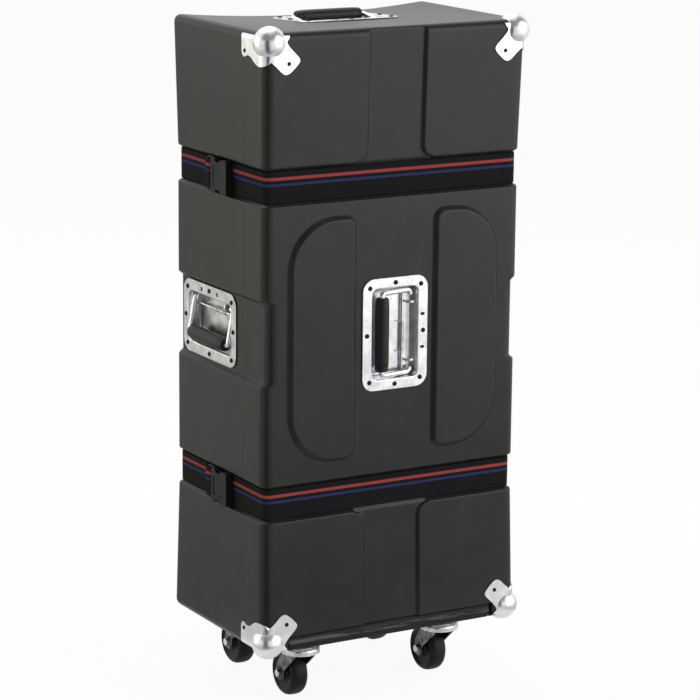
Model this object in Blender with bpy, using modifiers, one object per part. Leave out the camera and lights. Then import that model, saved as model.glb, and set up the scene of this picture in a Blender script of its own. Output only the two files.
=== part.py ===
# Drum hardware case on four swivel casters.
# Metres, +Z up. The floor is Z = 0, the front (the lid side) faces -Y, the buckles are on -X.
# Every piece is modelled from the middle of the case's bottom and hangs from one empty that lifts
# it onto the casters. Coordinates in this file are counted from there unless a comment differs.

import math

import bmesh
import bpy
from mathutils import Matrix, Vector

# case, outside
WIDTH = 0.370
DEPTH = 0.250
HEIGHT = 0.772
WALL = 0.005
CORNER_RADIUS = 0.013
EDGE_RADIUS = 0.010
LEAST_RADIUS = 0.002
FLARE_X = 0.0024
FLARE_Y = 0.0055
TOP_SAG = 0.0105
CORNER_STEPS = 3
EDGE_STEPS = 3
CLEARANCE = 0.0003

# where the case opens: the lid is the shallow front half
LID_DEPTH = 0.058
TONGUE = 0.010

# webbing channels all round, and the channel for the side handles
UPPER_STRAP_Z = 0.585
LOWER_STRAP_Z = 0.191
CHANNEL_DEPTH = 0.006
CHANNEL_FLOOR = 0.039
CHANNEL_SLOPE = 0.004
HANDLE_CHANNEL_FLOOR = 0.097
HANDLE_CHANNEL_SLOPE = 0.005

# relief on the front
BAND_WIDTH = 0.074
BAND_DEPTH = 0.004
BAND_FILLET = 0.015
BAND_CUTTER_REACH = 0.024
PAD_HEIGHT = 0.0055
PAD_ROOT = 0.003
PAD_INNER_X = 0.060
PAD_WIDTH = 0.085
PAD_LENGTH = 0.297
PAD_ROUND = 0.060
PAD_SMALL_ROUND = 0.010

# caster board
BOARD_INSET = 0.035
BOARD_THICKNESS = 0.020
BOARD_SET_BACK = 0.003
BOARD_ROUND = 0.004

# handles: long side, short side, sheet
HANDLE_LENGTH = 0.142
HANDLE_HEIGHT = 0.094
HANDLE_SHEET = 0.0015
HANDLE_CORNER = 0.009
HANDLE_ROOM = 0.001
DISH_LENGTH = 0.114
DISH_HEIGHT = 0.064
DISH_DEPTH = 0.013
DISH_TAPER = 0.003
DISH_CORNER = 0.007
BAIL_WIRE = 0.007
BAIL_HALF_SPAN = 0.052
BAIL_BEND = 0.005
BAIL_HINGE_Y = 0.025
BAIL_HINGE_SINK = 0.006
BAIL_END_X = 0.013
GRIP_Y = -0.0195
GRIP_RISE = 0.0005
GRIP_DIAMETER = 0.018
GRIP_LENGTH = 0.093
GRIP_END_SHARE = 0.8
GRIP_NECK_SHARE = 0.95
GRIP_ROUND = 0.002
GRIP_SWELL = 0.012
EAR_X = 0.037
EAR_THICKNESS = 0.003
EAR_WIDTH = 0.012
SPRING_WIRE = 0.0014
SPRING_TURNS = 4
SPRING_STEPS = 8
SPRING_PITCH = 0.0034
SPRING_GAP = 0.0004
FRONT_HANDLE = (0.001, 0.391)
SIDE_HANDLE_Y = 0.033
SIDE_HANDLE_Z = 0.3925
TOP_HANDLE_Y = 0.033
HANDLE_RIVETS = ((0.0595, 0.0365), (0.0642, 0.0), (0.0, 0.0403))

# rivets
RIVET_HEAD = 0.0076
RIVET_HEAD_HEIGHT = 0.0014
RIVET_CROWN_SHARE = 0.65
RIVET_SHOULDER_SHARE = 0.8
RIVET_STEPS = 6

# ball corners, pressed steel
BALL_RADIUS = 0.020
BALL_INSET = 0.013
CORNER_SHEET = 0.0012
CORNER_LAP = 0.010
CORNER_MASK = 0.024
LEAF_HOLE = (0.034, 0.041)
LEAF_LOBE = 0.0105
LEAF_REACH = 0.032
LEAF_TAB = 0.004
LEAF_WAIST = (0.027, 0.011)
FLANGE_LENGTH = 0.059
FLANGE_HEIGHT = 0.030
FLANGE_HOLE = (0.049, 0.019)
FLANGE_ROUND = 0.006
FLANGE_LOBE = 0.018
FLANGE_WAIST = 0.005
FLANGE_SHOULDER = 0.022
FLANGE_HUMP = 0.010

# straps and buckles
WEBBING = 0.038
WEBBING_THICKNESS = 0.002
STRAP_END_Y = 0.095
BUCKLE_LENGTH = 0.041
BUCKLE_HEIGHT = 0.043
BUCKLE_THICKNESS = 0.0125
BUCKLE_FRONT_Y = -0.033
BUCKLE_WALL = 0.0025
BUCKLE_CHAMFER = 0.0008
BUCKLE_CORNER = 0.003
BUCKLE_WINDOW = (0.009, 0.027)
BUCKLE_WINDOW_DEPTH = 0.0045
BUCKLE_WINDOW_RAMP = 0.003
BUCKLE_BACK = 0.001
CAVITY_HEIGHT = 0.0366
CAVITY_LENGTH = 0.030
LADDER_LENGTH = 0.0195
LADDER_THICKNESS = 0.0095
LADDER_SLOT = 0.0035
LADDER_RIM = 0.004
LADDER_START = 0.005
LADDER_STEP = 0.0065
TONGUE_LENGTH = 0.022
TONGUE_WIDTH = 0.007
TONGUE_THICKNESS = 0.004
STRAP_TUCK = 0.010
PRONG_LENGTH = 0.027
PRONG_THICKNESS = 0.006
PRONG_ARM = 0.003
PRONG_INNER_Z = 0.010
PRONG_OUTER_Z = 0.0178
PRONG_BARB = (0.017, 0.0135, 0.009, 0.002)

# casters
CASTER_INSET_X = 0.082
CASTER_INSET_Y = 0.054
CASTER_HEIGHT = 0.085
CASTER_PLATE = 0.058
CASTER_PLATE_THICKNESS = 0.003
CASTER_PLATE_CORNER = 0.006
CASTER_BOLT_SPACING = 0.042
RACE_DIAMETER = 0.044
RACE_DEPTH = 0.0055
RACE_ROUND = 0.0015
RACE_CONE = 0.011
CROWN_DIAMETER = 0.050
CROWN_TOP = -0.0102
CROWN_DEPTH = 0.010
CROWN_SHOULDER = 0.005
FORK_SHEET = 0.0025
FORK_GAP = 0.026
FORK_NECK = 0.014
KINGPIN = 0.0085
KINGPIN_HEAD = 0.003
KINGPIN_HEAD_HEIGHT = 0.0025
TRAIL = 0.027
WHEEL_DIAMETER = 0.060
WHEEL_WIDTH = 0.024
WHEEL_HUB = 0.022
WHEEL_DISH = 0.003
WHEEL_STEP = 0.002
WHEEL_ROUND = 0.0045
AXLE = 0.008
AXLE_HEAD = 0.013
AXLE_HEAD_HEIGHT = 0.004
AXLE_BOSS = 0.019

# screws
SCREW_SHANK = 0.006
SCREW_HEAD = 0.0115
SCREW_HEAD_HEIGHT = 0.004
SCREW_BITE = 0.014
BOARD_SCREW_INSET_X = 0.140
BOARD_SCREW_FRONT_INSET = 0.080
BOARD_SCREW_REAR_INSET = 0.030

# worked out from the sizes above
FAR = WIDTH + DEPTH
BOARD_WIDTH = WIDTH - 2 * BOARD_INSET
CASTER_X = WIDTH / 2 - CASTER_INSET_X
CASTER_Y = DEPTH / 2 - CASTER_INSET_Y
SEAM_Y = LID_DEPTH - DEPTH / 2
PROUD = BALL_RADIUS - BALL_INSET
FRONT_REACH = DEPTH / 2 + PROUD
REAR_REACH = max(CASTER_Y + TRAIL + WHEEL_DIAMETER / 2, DEPTH / 2)
CENTRE_X = WIDTH / 2 - FLARE_X
CENTRE_Y = DEPTH / 2 - FLARE_Y
CHANNEL_X = CENTRE_X - CHANNEL_DEPTH
CHANNEL_Y = CENTRE_Y - CHANNEL_DEPTH
CHANNEL_LIP = CHANNEL_FLOOR / 2 + CHANNEL_SLOPE
UPPER_LIP_Z = UPPER_STRAP_Z + CHANNEL_LIP
LOWER_LIP_Z = LOWER_STRAP_Z - CHANNEL_LIP
SLOT_TOP = BOARD_THICKNESS + CLEARANCE
STRAP_INNER = CHANNEL_X + CLEARANCE
CAVITY_LOW = BUCKLE_WALL + BUCKLE_BACK
CAVITY_HIGH = BUCKLE_THICKNESS - BUCKLE_WALL
AXLE_Z = WHEEL_DIAMETER / 2 - CASTER_HEIGHT


# scene and object helpers

def clear_scene():
    for obj in list(bpy.data.objects):
        bpy.data.objects.remove(obj, do_unlink=True)


def new_collection(name):
    collection = bpy.data.collections.new(name)
    bpy.context.scene.collection.children.link(collection)
    return collection


def finish(name, colour, roughness, metallic):
    material = bpy.data.materials.new(name)
    material.use_nodes = True
    shader = material.node_tree.nodes["Principled BSDF"]
    shader.inputs["Base Color"].default_value = (*colour, 1.0)
    shader.inputs["Roughness"].default_value = roughness
    shader.inputs["Metallic"].default_value = metallic
    material.diffuse_color = (*colour, 1.0)
    return material


def add_tool(name, mesh):
    # a shape that cuts or joins others and is no piece of the case
    tool = bpy.data.objects.new(name, mesh)
    tool.hide_render = True
    tool.display_type = 'WIRE'
    tools.objects.link(tool)
    return tool


def add_piece(name, mesh, material, matrix=None):
    piece = bpy.data.objects.new(name, mesh)
    piece.parent = stand
    if matrix is not None:
        piece.matrix_local = matrix
    if not mesh.materials:
        mesh.materials.append(material)
    pieces.objects.link(piece)
    return piece


def to_mesh(bm, name):
    mesh = bpy.data.meshes.new(name)
    bmesh.ops.recalc_face_normals(bm, faces=bm.faces)
    bm.to_mesh(mesh)
    bm.free()
    return mesh


def baked(obj, name):
    # the object as its modifiers leave it, without the object
    bpy.context.view_layer.update()
    graph = bpy.context.evaluated_depsgraph_get()
    mesh = bpy.data.meshes.new_from_object(obj.evaluated_get(graph))
    mesh.transform(obj.matrix_world)
    mesh.name = name
    bm = bmesh.new()
    bm.from_mesh(mesh)
    bmesh.ops.remove_doubles(bm, verts=bm.verts, dist=0.000001)
    bm.to_mesh(mesh)
    bm.free()
    bpy.data.objects.remove(obj, do_unlink=True)
    return mesh


def combine(target, tool, operation):
    modifier = target.modifiers.new(tool.name, 'BOOLEAN')
    modifier.operation = operation
    modifier.solver = 'EXACT'
    modifier.object = tool
    return target


def merged(name, mesh, *steps):
    # one mesh from a first shape and (operation, mesh) steps
    target = add_tool(name, mesh)
    used = []
    for operation, other in steps:
        tool = add_tool(name + "_step", other)
        used.append(tool)
        combine(target, tool, operation)
    result = baked(target, name)
    for tool in used:
        bpy.data.objects.remove(tool, do_unlink=True)
    return result


def fit(piece, name, mesh, operation):
    # joins or cuts a piece of the case with a shape that stays beside the model
    tool = add_tool(name, mesh)
    tool.parent = stand
    return combine(piece, tool, operation)


def moved(mesh, matrix):
    copy = mesh.copy()
    copy.transform(matrix)
    if matrix.determinant() < 0:
        copy.flip_normals()
    return copy


def joined(name, meshes):
    # separate solids in one mesh
    bm = bmesh.new()
    for mesh in meshes:
        bm.from_mesh(mesh)
    mesh = bpy.data.meshes.new(name)
    bm.to_mesh(mesh)
    bm.free()
    return mesh


# shape helpers

def box(name, low, high):
    low = Vector(low)
    high = Vector(high)
    bm = bmesh.new()
    bmesh.ops.create_cube(bm, size=1.0)
    bmesh.ops.scale(bm, vec=high - low, verts=bm.verts)
    bmesh.ops.translate(bm, vec=(low + high) / 2, verts=bm.verts)
    return to_mesh(bm, name)


def round_box(name, low, high, radius, steps=2):
    mesh = box(name, low, high)
    obj = add_tool(name, mesh)
    bevel = obj.modifiers.new("rounding", 'BEVEL')
    bevel.width = radius
    bevel.segments = steps
    bevel.limit_method = 'NONE'
    return baked(obj, name)


def cylinder(name, radius, depth, steps, matrix=None, tip_radius=None):
    bm = bmesh.new()
    end = radius if tip_radius is None else tip_radius
    bmesh.ops.create_cone(bm, cap_ends=True, segments=steps, radius1=radius, radius2=end, depth=depth)
    if matrix is not None:
        bmesh.ops.transform(bm, matrix=matrix, verts=bm.verts)
    return to_mesh(bm, name)


def turned(name, profile, steps):
    # a profile of (radius, height), outer side first from the top down, swept round Z
    mesh = bpy.data.meshes.new(name)
    count = len(profile)
    closed = profile[0][0] > 0 or profile[-1][0] > 0
    edges = [(i, i + 1) for i in range(count - 1)]
    if closed:
        edges.append((count - 1, 0))
    mesh.from_pydata([(radius, 0, height) for radius, height in profile], edges, [])
    obj = add_tool(name, mesh)
    screw = obj.modifiers.new("turn", 'SCREW')
    screw.axis = 'Z'
    screw.steps = steps
    screw.render_steps = steps
    screw.use_merge_vertices = True
    screw.merge_threshold = 0.00001
    return baked(obj, name)


def arc(centre, radius, start, end, steps):
    points = []
    for i in range(steps + 1):
        angle = math.radians(start + (end - start) * i / steps)
        points.append((centre[0] + radius * math.cos(angle), centre[1] + radius * math.sin(angle)))
    return points


def round_rectangle(half_x, half_y, radius, steps, stops=()):
    # counter-clockwise from the front left corner; stops are shares of the straight front and rear
    in_x = half_x - radius
    in_y = half_y - radius
    along = [in_x * stop for stop in stops]
    points = arc((-in_x, -in_y), radius, 180, 270, steps)
    points += [(x, -half_y) for x in along]
    points += arc((in_x, -in_y), radius, 270, 360, steps)
    points += arc((in_x, in_y), radius, 0, 90, steps)
    points += [(-x, half_y) for x in along]
    points += arc((-in_x, in_y), radius, 90, 180, steps)
    return points


def flat_plate(name, outlines, thickness, chamfer=0.0):
    # outlines in XY, thickness about Z = 0; a chamfer widens the plate below both faces
    curve = bpy.data.curves.new(name, 'CURVE')
    curve.dimensions = '2D'
    curve.fill_mode = 'BOTH'
    curve.extrude = thickness / 2 - chamfer
    curve.bevel_depth = chamfer
    curve.bevel_resolution = 0
    for outline in outlines:
        spline = curve.splines.new('POLY')
        spline.points.add(len(outline) - 1)
        for point, (x, y) in zip(spline.points, outline):
            point.co = (x, y, 0, 1)
        spline.use_cyclic_u = True
    return curve_mesh(name, curve)


def wire(name, points, radius, resolution):
    curve = bpy.data.curves.new(name, 'CURVE')
    curve.dimensions = '3D'
    curve.bevel_depth = radius
    curve.bevel_resolution = resolution
    curve.use_fill_caps = True
    spline = curve.splines.new('POLY')
    spline.points.add(len(points) - 1)
    for point, place in zip(spline.points, points):
        point.co = (*place, 1)
    return curve_mesh(name, curve)


def curve_mesh(name, curve):
    obj = bpy.data.objects.new(name, curve)
    tools.objects.link(obj)
    mesh = baked(obj, name)
    bpy.data.curves.remove(curve)
    bm = bmesh.new()
    bm.from_mesh(mesh)
    bpy.data.meshes.remove(mesh)
    return to_mesh(bm, name)


def loft(name, rings):
    # rings with equal counts, one above the other; the ends close in strips from front to rear,
    # whose diagonals mirror each other so that parallel skins stay parallel
    bm = bmesh.new()
    rows = [[bm.verts.new(point) for point in ring] for ring in rings]
    count = len(rows[0])
    for lower, upper in zip(rows, rows[1:]):
        for i in range(count):
            j = (i + 1) % count
            bm.faces.new((lower[i], lower[j], upper[j], upper[i]))
    strips = count // 2 - 1
    for row in (rows[0], rows[-1]):
        for i in range(strips):
            near, next_near = row[i], row[i + 1]
            next_far, far = row[count - 2 - i], row[count - 1 - i]
            if i < strips / 2:
                bm.faces.new((near, next_near, next_far))
                bm.faces.new((near, next_far, far))
            else:
                bm.faces.new((near, next_near, far))
                bm.faces.new((next_near, next_far, far))
    return to_mesh(bm, name)


# axes of a piece that lies on a face: its own Z is the face's outward normal

def axes(place, along, across, outward):
    matrix = Matrix.Identity(4)
    for column, direction in enumerate((along, across, outward)):
        for row in range(3):
            matrix[row][column] = direction[row]
    matrix.translation = Vector(place)
    return matrix


# case body

def flare(z):
    # 0 between the straps, growing to 1 at both ends
    if z > UPPER_LIP_Z:
        return min((z - UPPER_LIP_Z) / (HEIGHT - UPPER_LIP_Z), 1)
    if z < LOWER_LIP_Z:
        return min((LOWER_LIP_Z - z) / LOWER_LIP_Z, 1)
    return 0


def half_x(z):
    return CENTRE_X + FLARE_X * flare(z)


def half_y(z):
    return CENTRE_Y + FLARE_Y * flare(z)


def top_sag(x, y):
    # the top hangs in an arc at the rear edge and is straight at the front edge
    across = 1 - (x / (WIDTH / 2)) ** 2
    return TOP_SAG * max(across, 0) * (y + DEPTH / 2) / DEPTH


def body_levels(inset):
    # (height, recess of the sides, recess of front and rear), from the bottom up
    radius = max(EDGE_RADIUS - inset, LEAST_RADIUS)
    levels = []
    for i in range(EDGE_STEPS + 1):
        angle = math.radians(90 * i / EDGE_STEPS)
        levels.append((inset + radius * (1 - math.cos(angle)), radius * (1 - math.sin(angle)), None))
    spread = inset / 2
    channels = (
        (LOWER_STRAP_Z, CHANNEL_FLOOR, CHANNEL_SLOPE, CHANNEL_DEPTH),
        (SIDE_HANDLE_Z, HANDLE_CHANNEL_FLOOR, HANDLE_CHANNEL_SLOPE, 0),
        (UPPER_STRAP_Z, CHANNEL_FLOOR, CHANNEL_SLOPE, CHANNEL_DEPTH),
    )
    for middle, floor, slope, depth_y in channels:
        near = floor / 2 + spread
        far = near + slope
        levels.append((middle - far, 0, 0))
        levels.append((middle - near, CHANNEL_DEPTH, depth_y))
        levels.append((middle + near, CHANNEL_DEPTH, depth_y))
        levels.append((middle + far, 0, 0))
    for height, edge, _ in reversed(levels[:EDGE_STEPS + 1]):
        levels.append((HEIGHT - height, edge, None))
    return levels


def case_body(name, inset):
    rings = []
    for height, recess_x, recess_y in body_levels(inset):
        recess = recess_x if recess_y is None else recess_y
        radius = max(CORNER_RADIUS - inset - recess, LEAST_RADIUS)
        x_half = half_x(height) - inset - recess_x
        y_half = half_y(height) - inset - recess
        outline = round_rectangle(x_half, y_half, radius, CORNER_STEPS, (-0.5, 0, 0.5))
        sagging = height > HEIGHT - EDGE_RADIUS - LEAST_RADIUS
        rings.append([(x, y, height - (top_sag(x, y) if sagging else 0)) for x, y in outline])
    return loft(name, rings)


def band_cutter(name, grow, upward):
    # the recess down the middle of the front; grow is the wall left behind it
    half = BAND_WIDTH / 2 + grow
    fillet = BAND_FILLET
    reach = HEIGHT
    start = -CHANNEL_SLOPE - CHANNEL_FLOOR / 2
    outline = [(half + fillet, start)]
    outline += arc((half + fillet, fillet + grow), fillet, 270, 180, 4)
    outline += [(half, reach), (-half, reach)]
    outline += arc((-half - fillet, fillet + grow), fillet, 0, -90, 4)
    outline += [(-half - fillet, start)]
    thickness = BAND_CUTTER_REACH + BAND_DEPTH
    plate = flat_plate(name, [outline], thickness, BAND_DEPTH)
    plate.transform(Matrix.Translation((0, 0, thickness / 2 - BAND_DEPTH - grow)))
    lip = UPPER_LIP_Z if upward else LOWER_LIP_Z
    run = HEIGHT - UPPER_LIP_Z if upward else LOWER_LIP_Z
    tilt = math.atan(FLARE_Y / run)
    rise = math.cos(tilt) * (1 if upward else -1)
    lean = math.sin(tilt)
    up = Vector((0, -lean, rise))
    out = Vector((0, -abs(rise), -lean * (1 if upward else -1)))
    side = up.cross(out)
    plate.transform(axes((0, -CENTRE_Y, lip), side, up, out))
    return plate


def pad_mesh(name, side):
    # one of the two raised pads beside the handle, half round on its outer side
    low = -PAD_LENGTH / 2
    high = PAD_LENGTH / 2
    inner = PAD_INNER_X
    outer = PAD_INNER_X + PAD_WIDTH
    outline = arc((outer - PAD_ROUND, low + PAD_ROUND), PAD_ROUND, 270, 360, 6)
    outline += arc((outer - PAD_ROUND, high - PAD_ROUND), PAD_ROUND, 0, 90, 6)
    small = PAD_SMALL_ROUND
    outline += arc((inner + small, high - small), small, 90, 180, 2)
    outline += arc((inner + small, low + small), small, 180, 270, 2)
    thickness = 2 * PAD_HEIGHT + PAD_ROOT
    plate = flat_plate(name, [outline], thickness, PAD_HEIGHT)
    top = CENTRE_Y + PAD_HEIGHT
    place = (0, thickness / 2 - top, FRONT_HANDLE[1])
    plate.transform(axes(place, (side, 0, 0), (0, 0, 1), (0, -1, 0)))
    return to_mesh(mesh_copy(plate), name)


def board_slot(name, grow):
    half = BOARD_WIDTH / 2 + CLEARANCE + grow
    return box(name, (-half, -FAR, -FAR), (half, FAR, SLOT_TOP + grow))


def handle_hole(name, matrix):
    # the cut-out in the wall for a handle's dish
    length = DISH_LENGTH / 2 + HANDLE_SHEET + HANDLE_ROOM
    height = DISH_HEIGHT / 2 + HANDLE_SHEET + HANDLE_ROOM
    outline = round_rectangle(length, height, DISH_CORNER + HANDLE_ROOM, 2)
    plate = flat_plate(name, [outline], DISH_LENGTH / 2)
    plate.transform(matrix)
    return plate


def handle_seat(name, matrix):
    # a flat place for the top handle in the sagging top
    length = HANDLE_LENGTH / 2 + HANDLE_ROOM
    height = HANDLE_HEIGHT / 2 + HANDLE_ROOM
    outline = round_rectangle(length, height, HANDLE_CORNER, 3)
    plate = flat_plate(name, [outline], 2 * TOP_SAG)
    plate.transform(matrix @ Matrix.Translation((0, 0, TOP_SAG - CLEARANCE)))
    return plate


def handle_places():
    # where each handle lies; its own -Y is where the grip rests, its own Z points out of the case
    front = axes((FRONT_HANDLE[0], -CENTRE_Y - CLEARANCE, FRONT_HANDLE[1]),
                 (0, 0, -1), (1, 0, 0), (0, -1, 0))
    left = axes((-CHANNEL_X - CLEARANCE, SIDE_HANDLE_Y, SIDE_HANDLE_Z),
                (0, -1, 0), (0, 0, 1), (-1, 0, 0))
    right = axes((CHANNEL_X + CLEARANCE, SIDE_HANDLE_Y, SIDE_HANDLE_Z),
                 (0, 1, 0), (0, 0, 1), (1, 0, 0))
    slope = math.atan(TOP_SAG / DEPTH)
    sag = top_sag(HANDLE_LENGTH / 2, TOP_HANDLE_Y)
    seat = HEIGHT - sag - HANDLE_SHEET / 2
    top = axes((0, TOP_HANDLE_Y, seat), (-1, 0, 0),
               (0, -math.cos(slope), math.sin(slope)), (0, math.sin(slope), math.cos(slope)))
    return {"front": front, "left": left, "right": right, "top": top}


def build_shells(places):
    outer = case_body("case_outer", 0)
    cavity = merged("cavity", case_body("cavity", WALL),
                    ('DIFFERENCE', band_cutter("upper_band", WALL, True)),
                    ('DIFFERENCE', band_cutter("lower_band", WALL, False)),
                    ('DIFFERENCE', board_slot("slot", WALL)))
    slot = board_slot("board_slot", 0)

    base = add_piece("base_shell", outer, black_shell)
    fit(base, "board_slot", slot, 'DIFFERENCE')
    lid_side = box("lid_side", (-FAR, -FAR, -FAR), (FAR, SEAM_Y, HEIGHT + FAR))
    fit(base, "lid_side", lid_side, 'DIFFERENCE')
    tongue_room = box("tongue_room", (-FAR, SEAM_Y - TONGUE, -FAR), (FAR, SEAM_Y + WALL, HEIGHT + FAR))
    tongue = merged("rim_tongue", case_body("rim_tongue", WALL / 2 + CLEARANCE),
                    ('INTERSECT', tongue_room),
                    ('DIFFERENCE', board_slot("slot", WALL / 2 + CLEARANCE)))
    fit(base, "rim_tongue", tongue, 'UNION')
    fit(base, "case_cavity", cavity, 'DIFFERENCE')
    for side in ("left", "right", "top"):
        name = side + "_handle_hole"
        fit(base, name, handle_hole(name, places[side]), 'DIFFERENCE')
    fit(base, "top_handle_seat", handle_seat("top_handle_seat", places["top"]), 'DIFFERENCE')
    for x, y in screw_places():
        hole = screw_hole(x, y, SLOT_TOP - WALL, SLOT_TOP + 2 * WALL)
        fit(base, "board_screw_hole", hole, 'DIFFERENCE')

    lid = add_piece("lid_shell", case_body("case_front", 0), black_shell)
    for name, side in (("left_pad", -1), ("right_pad", 1)):
        fit(lid, name, pad_mesh(name, side), 'UNION')
    fit(lid, "upper_band", band_cutter("upper_band", 0, True), 'DIFFERENCE')
    fit(lid, "lower_band", band_cutter("lower_band", 0, False), 'DIFFERENCE')
    fit(lid, "lid_board_slot", slot, 'DIFFERENCE')
    base_side = box("base_side", (-FAR, SEAM_Y - CLEARANCE, -FAR), (FAR, FAR, HEIGHT + FAR))
    fit(lid, "base_side", base_side, 'DIFFERENCE')
    fit(lid, "lid_cavity", cavity, 'DIFFERENCE')
    rebate_room = box("rebate_room", (-FAR, SEAM_Y - TONGUE - CLEARANCE, -FAR), (FAR, FAR, HEIGHT + FAR))
    rebate = merged("rebate", case_body("rebate", WALL / 2), ('INTERSECT', rebate_room),
                    ('DIFFERENCE', board_slot("slot", WALL / 2)))
    fit(lid, "rebate", rebate, 'DIFFERENCE')
    hole = handle_hole("front_handle_hole", places["front"])
    fit(lid, "front_handle_hole", hole, 'DIFFERENCE')


# handles

def handle_plate():
    sheet = HANDLE_SHEET
    flange = flat_plate("flange", [round_rectangle(HANDLE_LENGTH / 2, HANDLE_HEIGHT / 2, HANDLE_CORNER, 3)],
                        sheet)
    flange.transform(Matrix.Translation((0, 0, sheet / 2)))

    def pan(grow, top, depth):
        low = round_rectangle(DISH_LENGTH / 2 + grow - DISH_TAPER, DISH_HEIGHT / 2 + grow - DISH_TAPER,
                              DISH_CORNER + grow - DISH_TAPER / 2, 2)
        high = round_rectangle(DISH_LENGTH / 2 + grow, DISH_HEIGHT / 2 + grow, DISH_CORNER + grow, 2)
        return loft("pan", [[(x, y, -depth) for x, y in low], [(x, y, top) for x, y in high]])

    steps = [('UNION', pan(sheet, sheet / 2, DISH_DEPTH + sheet)),
             ('DIFFERENCE', pan(0, 2 * sheet, DISH_DEPTH))]
    ear_top = arc((BAIL_HINGE_Y, -BAIL_HINGE_SINK), EAR_WIDTH / 2, 0, 180, 4)
    foot = -DISH_DEPTH - sheet / 2
    ear = [(BAIL_HINGE_Y - EAR_WIDTH / 2, foot), (BAIL_HINGE_Y + EAR_WIDTH / 2, foot)] + ear_top
    eye = Matrix.Translation((0, BAIL_HINGE_Y, -BAIL_HINGE_SINK)) @ Matrix.Rotation(math.pi / 2, 4, 'Y')
    for x in (-EAR_X, EAR_X):
        plate = flat_plate("ear", [ear], EAR_THICKNESS)
        plate.transform(axes((x, 0, 0), (0, 1, 0), (0, 0, 1), (1, 0, 0)))
        steps.append(('UNION', plate))
        hole = cylinder("eye", BAIL_WIRE / 2 + 2 * CLEARANCE, 2 * EAR_THICKNESS, 10,
                        Matrix.Translation((x, 0, 0)) @ eye)
        steps.append(('DIFFERENCE', hole))
    for x, y in handle_rivet_places():
        steps.append(('UNION', rivet(Matrix.Translation((x, y, sheet)))))
    return merged("handle_plate", flange, *steps)


def handle_rivet_places():
    places = []
    for x, y in HANDLE_RIVETS:
        for sign_x in ((1, -1) if x else (1,)):
            for sign_y in ((1, -1) if y else (1,)):
                places.append((sign_x * x, sign_y * y))
    return places


def rivet(place):
    # a closed rivet's head, clenched on its sheet; its own Z = 0 is the sheet's outer face
    head = RIVET_HEAD / 2
    sunk = CLEARANCE
    crown = (head * RIVET_CROWN_SHARE, RIVET_HEAD_HEIGHT * RIVET_SHOULDER_SHARE)
    profile = [(0, RIVET_HEAD_HEIGHT), crown, (head, -sunk), (0, -sunk)]
    mesh = turned("rivet", profile, RIVET_STEPS)
    mesh.transform(place)
    return mesh


def bail_arm():
    drop = BAIL_HINGE_Y - GRIP_Y
    rise = BAIL_HINGE_SINK + GRIP_RISE + HANDLE_SHEET
    return math.hypot(drop, rise), math.atan2(rise, drop)


def bail():
    # a bent wire in its own XY plane, hinged on X
    length, _ = bail_arm()
    span = BAIL_HALF_SPAN
    bend = BAIL_BEND
    corner = arc((span - bend, -bend), bend, 90, 0, 3)
    foot = arc((span - bend, -length + bend), bend, 0, -90, 3)
    half = [(BAIL_END_X, 0)] + corner + foot
    path = half + [(-x, y) for x, y in reversed(half)]
    return wire("bail", [(x, y, 0) for x, y in path], BAIL_WIRE / 2, 1)


def grip():
    # a moulded sleeve on the bail's bar, fuller in the middle
    radius = GRIP_DIAMETER / 2
    half = GRIP_LENGTH / 2
    bore = BAIL_WIRE / 2 + CLEARANCE
    end = radius * GRIP_END_SHARE
    neck = radius * GRIP_NECK_SHARE
    upper = [(bore, half), (end, half), (neck, half - GRIP_ROUND), (radius, half - GRIP_SWELL)]
    profile = upper + [(across, -along) for across, along in reversed(upper)]
    mesh = turned("grip", profile, 10)
    length, _ = bail_arm()
    mesh.transform(Matrix.Translation((0, -length, 0)) @ Matrix.Rotation(math.pi / 2, 4, 'Y'))
    return mesh


def spring():
    # a coil round the bail's turned-in end; its free end runs down to the dish
    radius = BAIL_WIRE / 2 + SPRING_GAP + SPRING_WIRE / 2
    start = BAIL_END_X + SPRING_WIRE
    points = []
    for i in range(SPRING_TURNS * SPRING_STEPS + 1):
        turn = math.pi + 2 * math.pi * i / SPRING_STEPS
        x = start + SPRING_PITCH * i / SPRING_STEPS
        points.append((x, radius * math.cos(turn), radius * math.sin(turn)))
    floor = BAIL_HINGE_SINK - DISH_DEPTH + SPRING_WIRE / 2 + CLEARANCE
    points.insert(0, (start - SPRING_WIRE / 2, -radius, floor))
    mesh = wire("spring", points, SPRING_WIRE / 2, 1)
    return mesh


def build_handles(places):
    plate = handle_plate()
    bail_mesh = bail()
    grip_mesh = grip()
    spring_mesh = spring()
    _, lean = bail_arm()
    hinge = Matrix.Translation((0, BAIL_HINGE_Y, -BAIL_HINGE_SINK))
    folded = hinge @ Matrix.Rotation(-lean, 4, 'X')
    for side, place in places.items():
        add_piece(side + "_handle_plate", plate, zinc_plate, place)
        add_piece(side + "_handle_bail", bail_mesh, bright_steel, place @ folded)
        add_piece(side + "_handle_grip", grip_mesh, black_grip, place @ folded)
        add_piece(side + "_handle_spring", spring_mesh, bright_steel, place @ hinge)


# ball corners

def corner_frame(side, top):
    # from the corner inwards: along the front, back along the side, and away from the end
    place = (side * WIDTH / 2, -DEPTH / 2, HEIGHT if top else 0)
    return axes(place, (-side, 0, 0), (0, 1, 0), (0, 0, -1 if top else 1))


def leaf_outline():
    # the diagonal leaf on the front: distance from the side, distance from the end
    lobe = arc(LEAF_HOLE, LEAF_LOBE, -35, 125, 6)
    lap = -CORNER_LAP
    reach = LEAF_REACH
    wide, near = LEAF_WAIST
    return [(lap, lap), (reach, lap), (reach, LEAF_TAB), (wide, near)] + lobe + \
        [(near, wide), (LEAF_TAB, reach), (lap, reach)]


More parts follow.
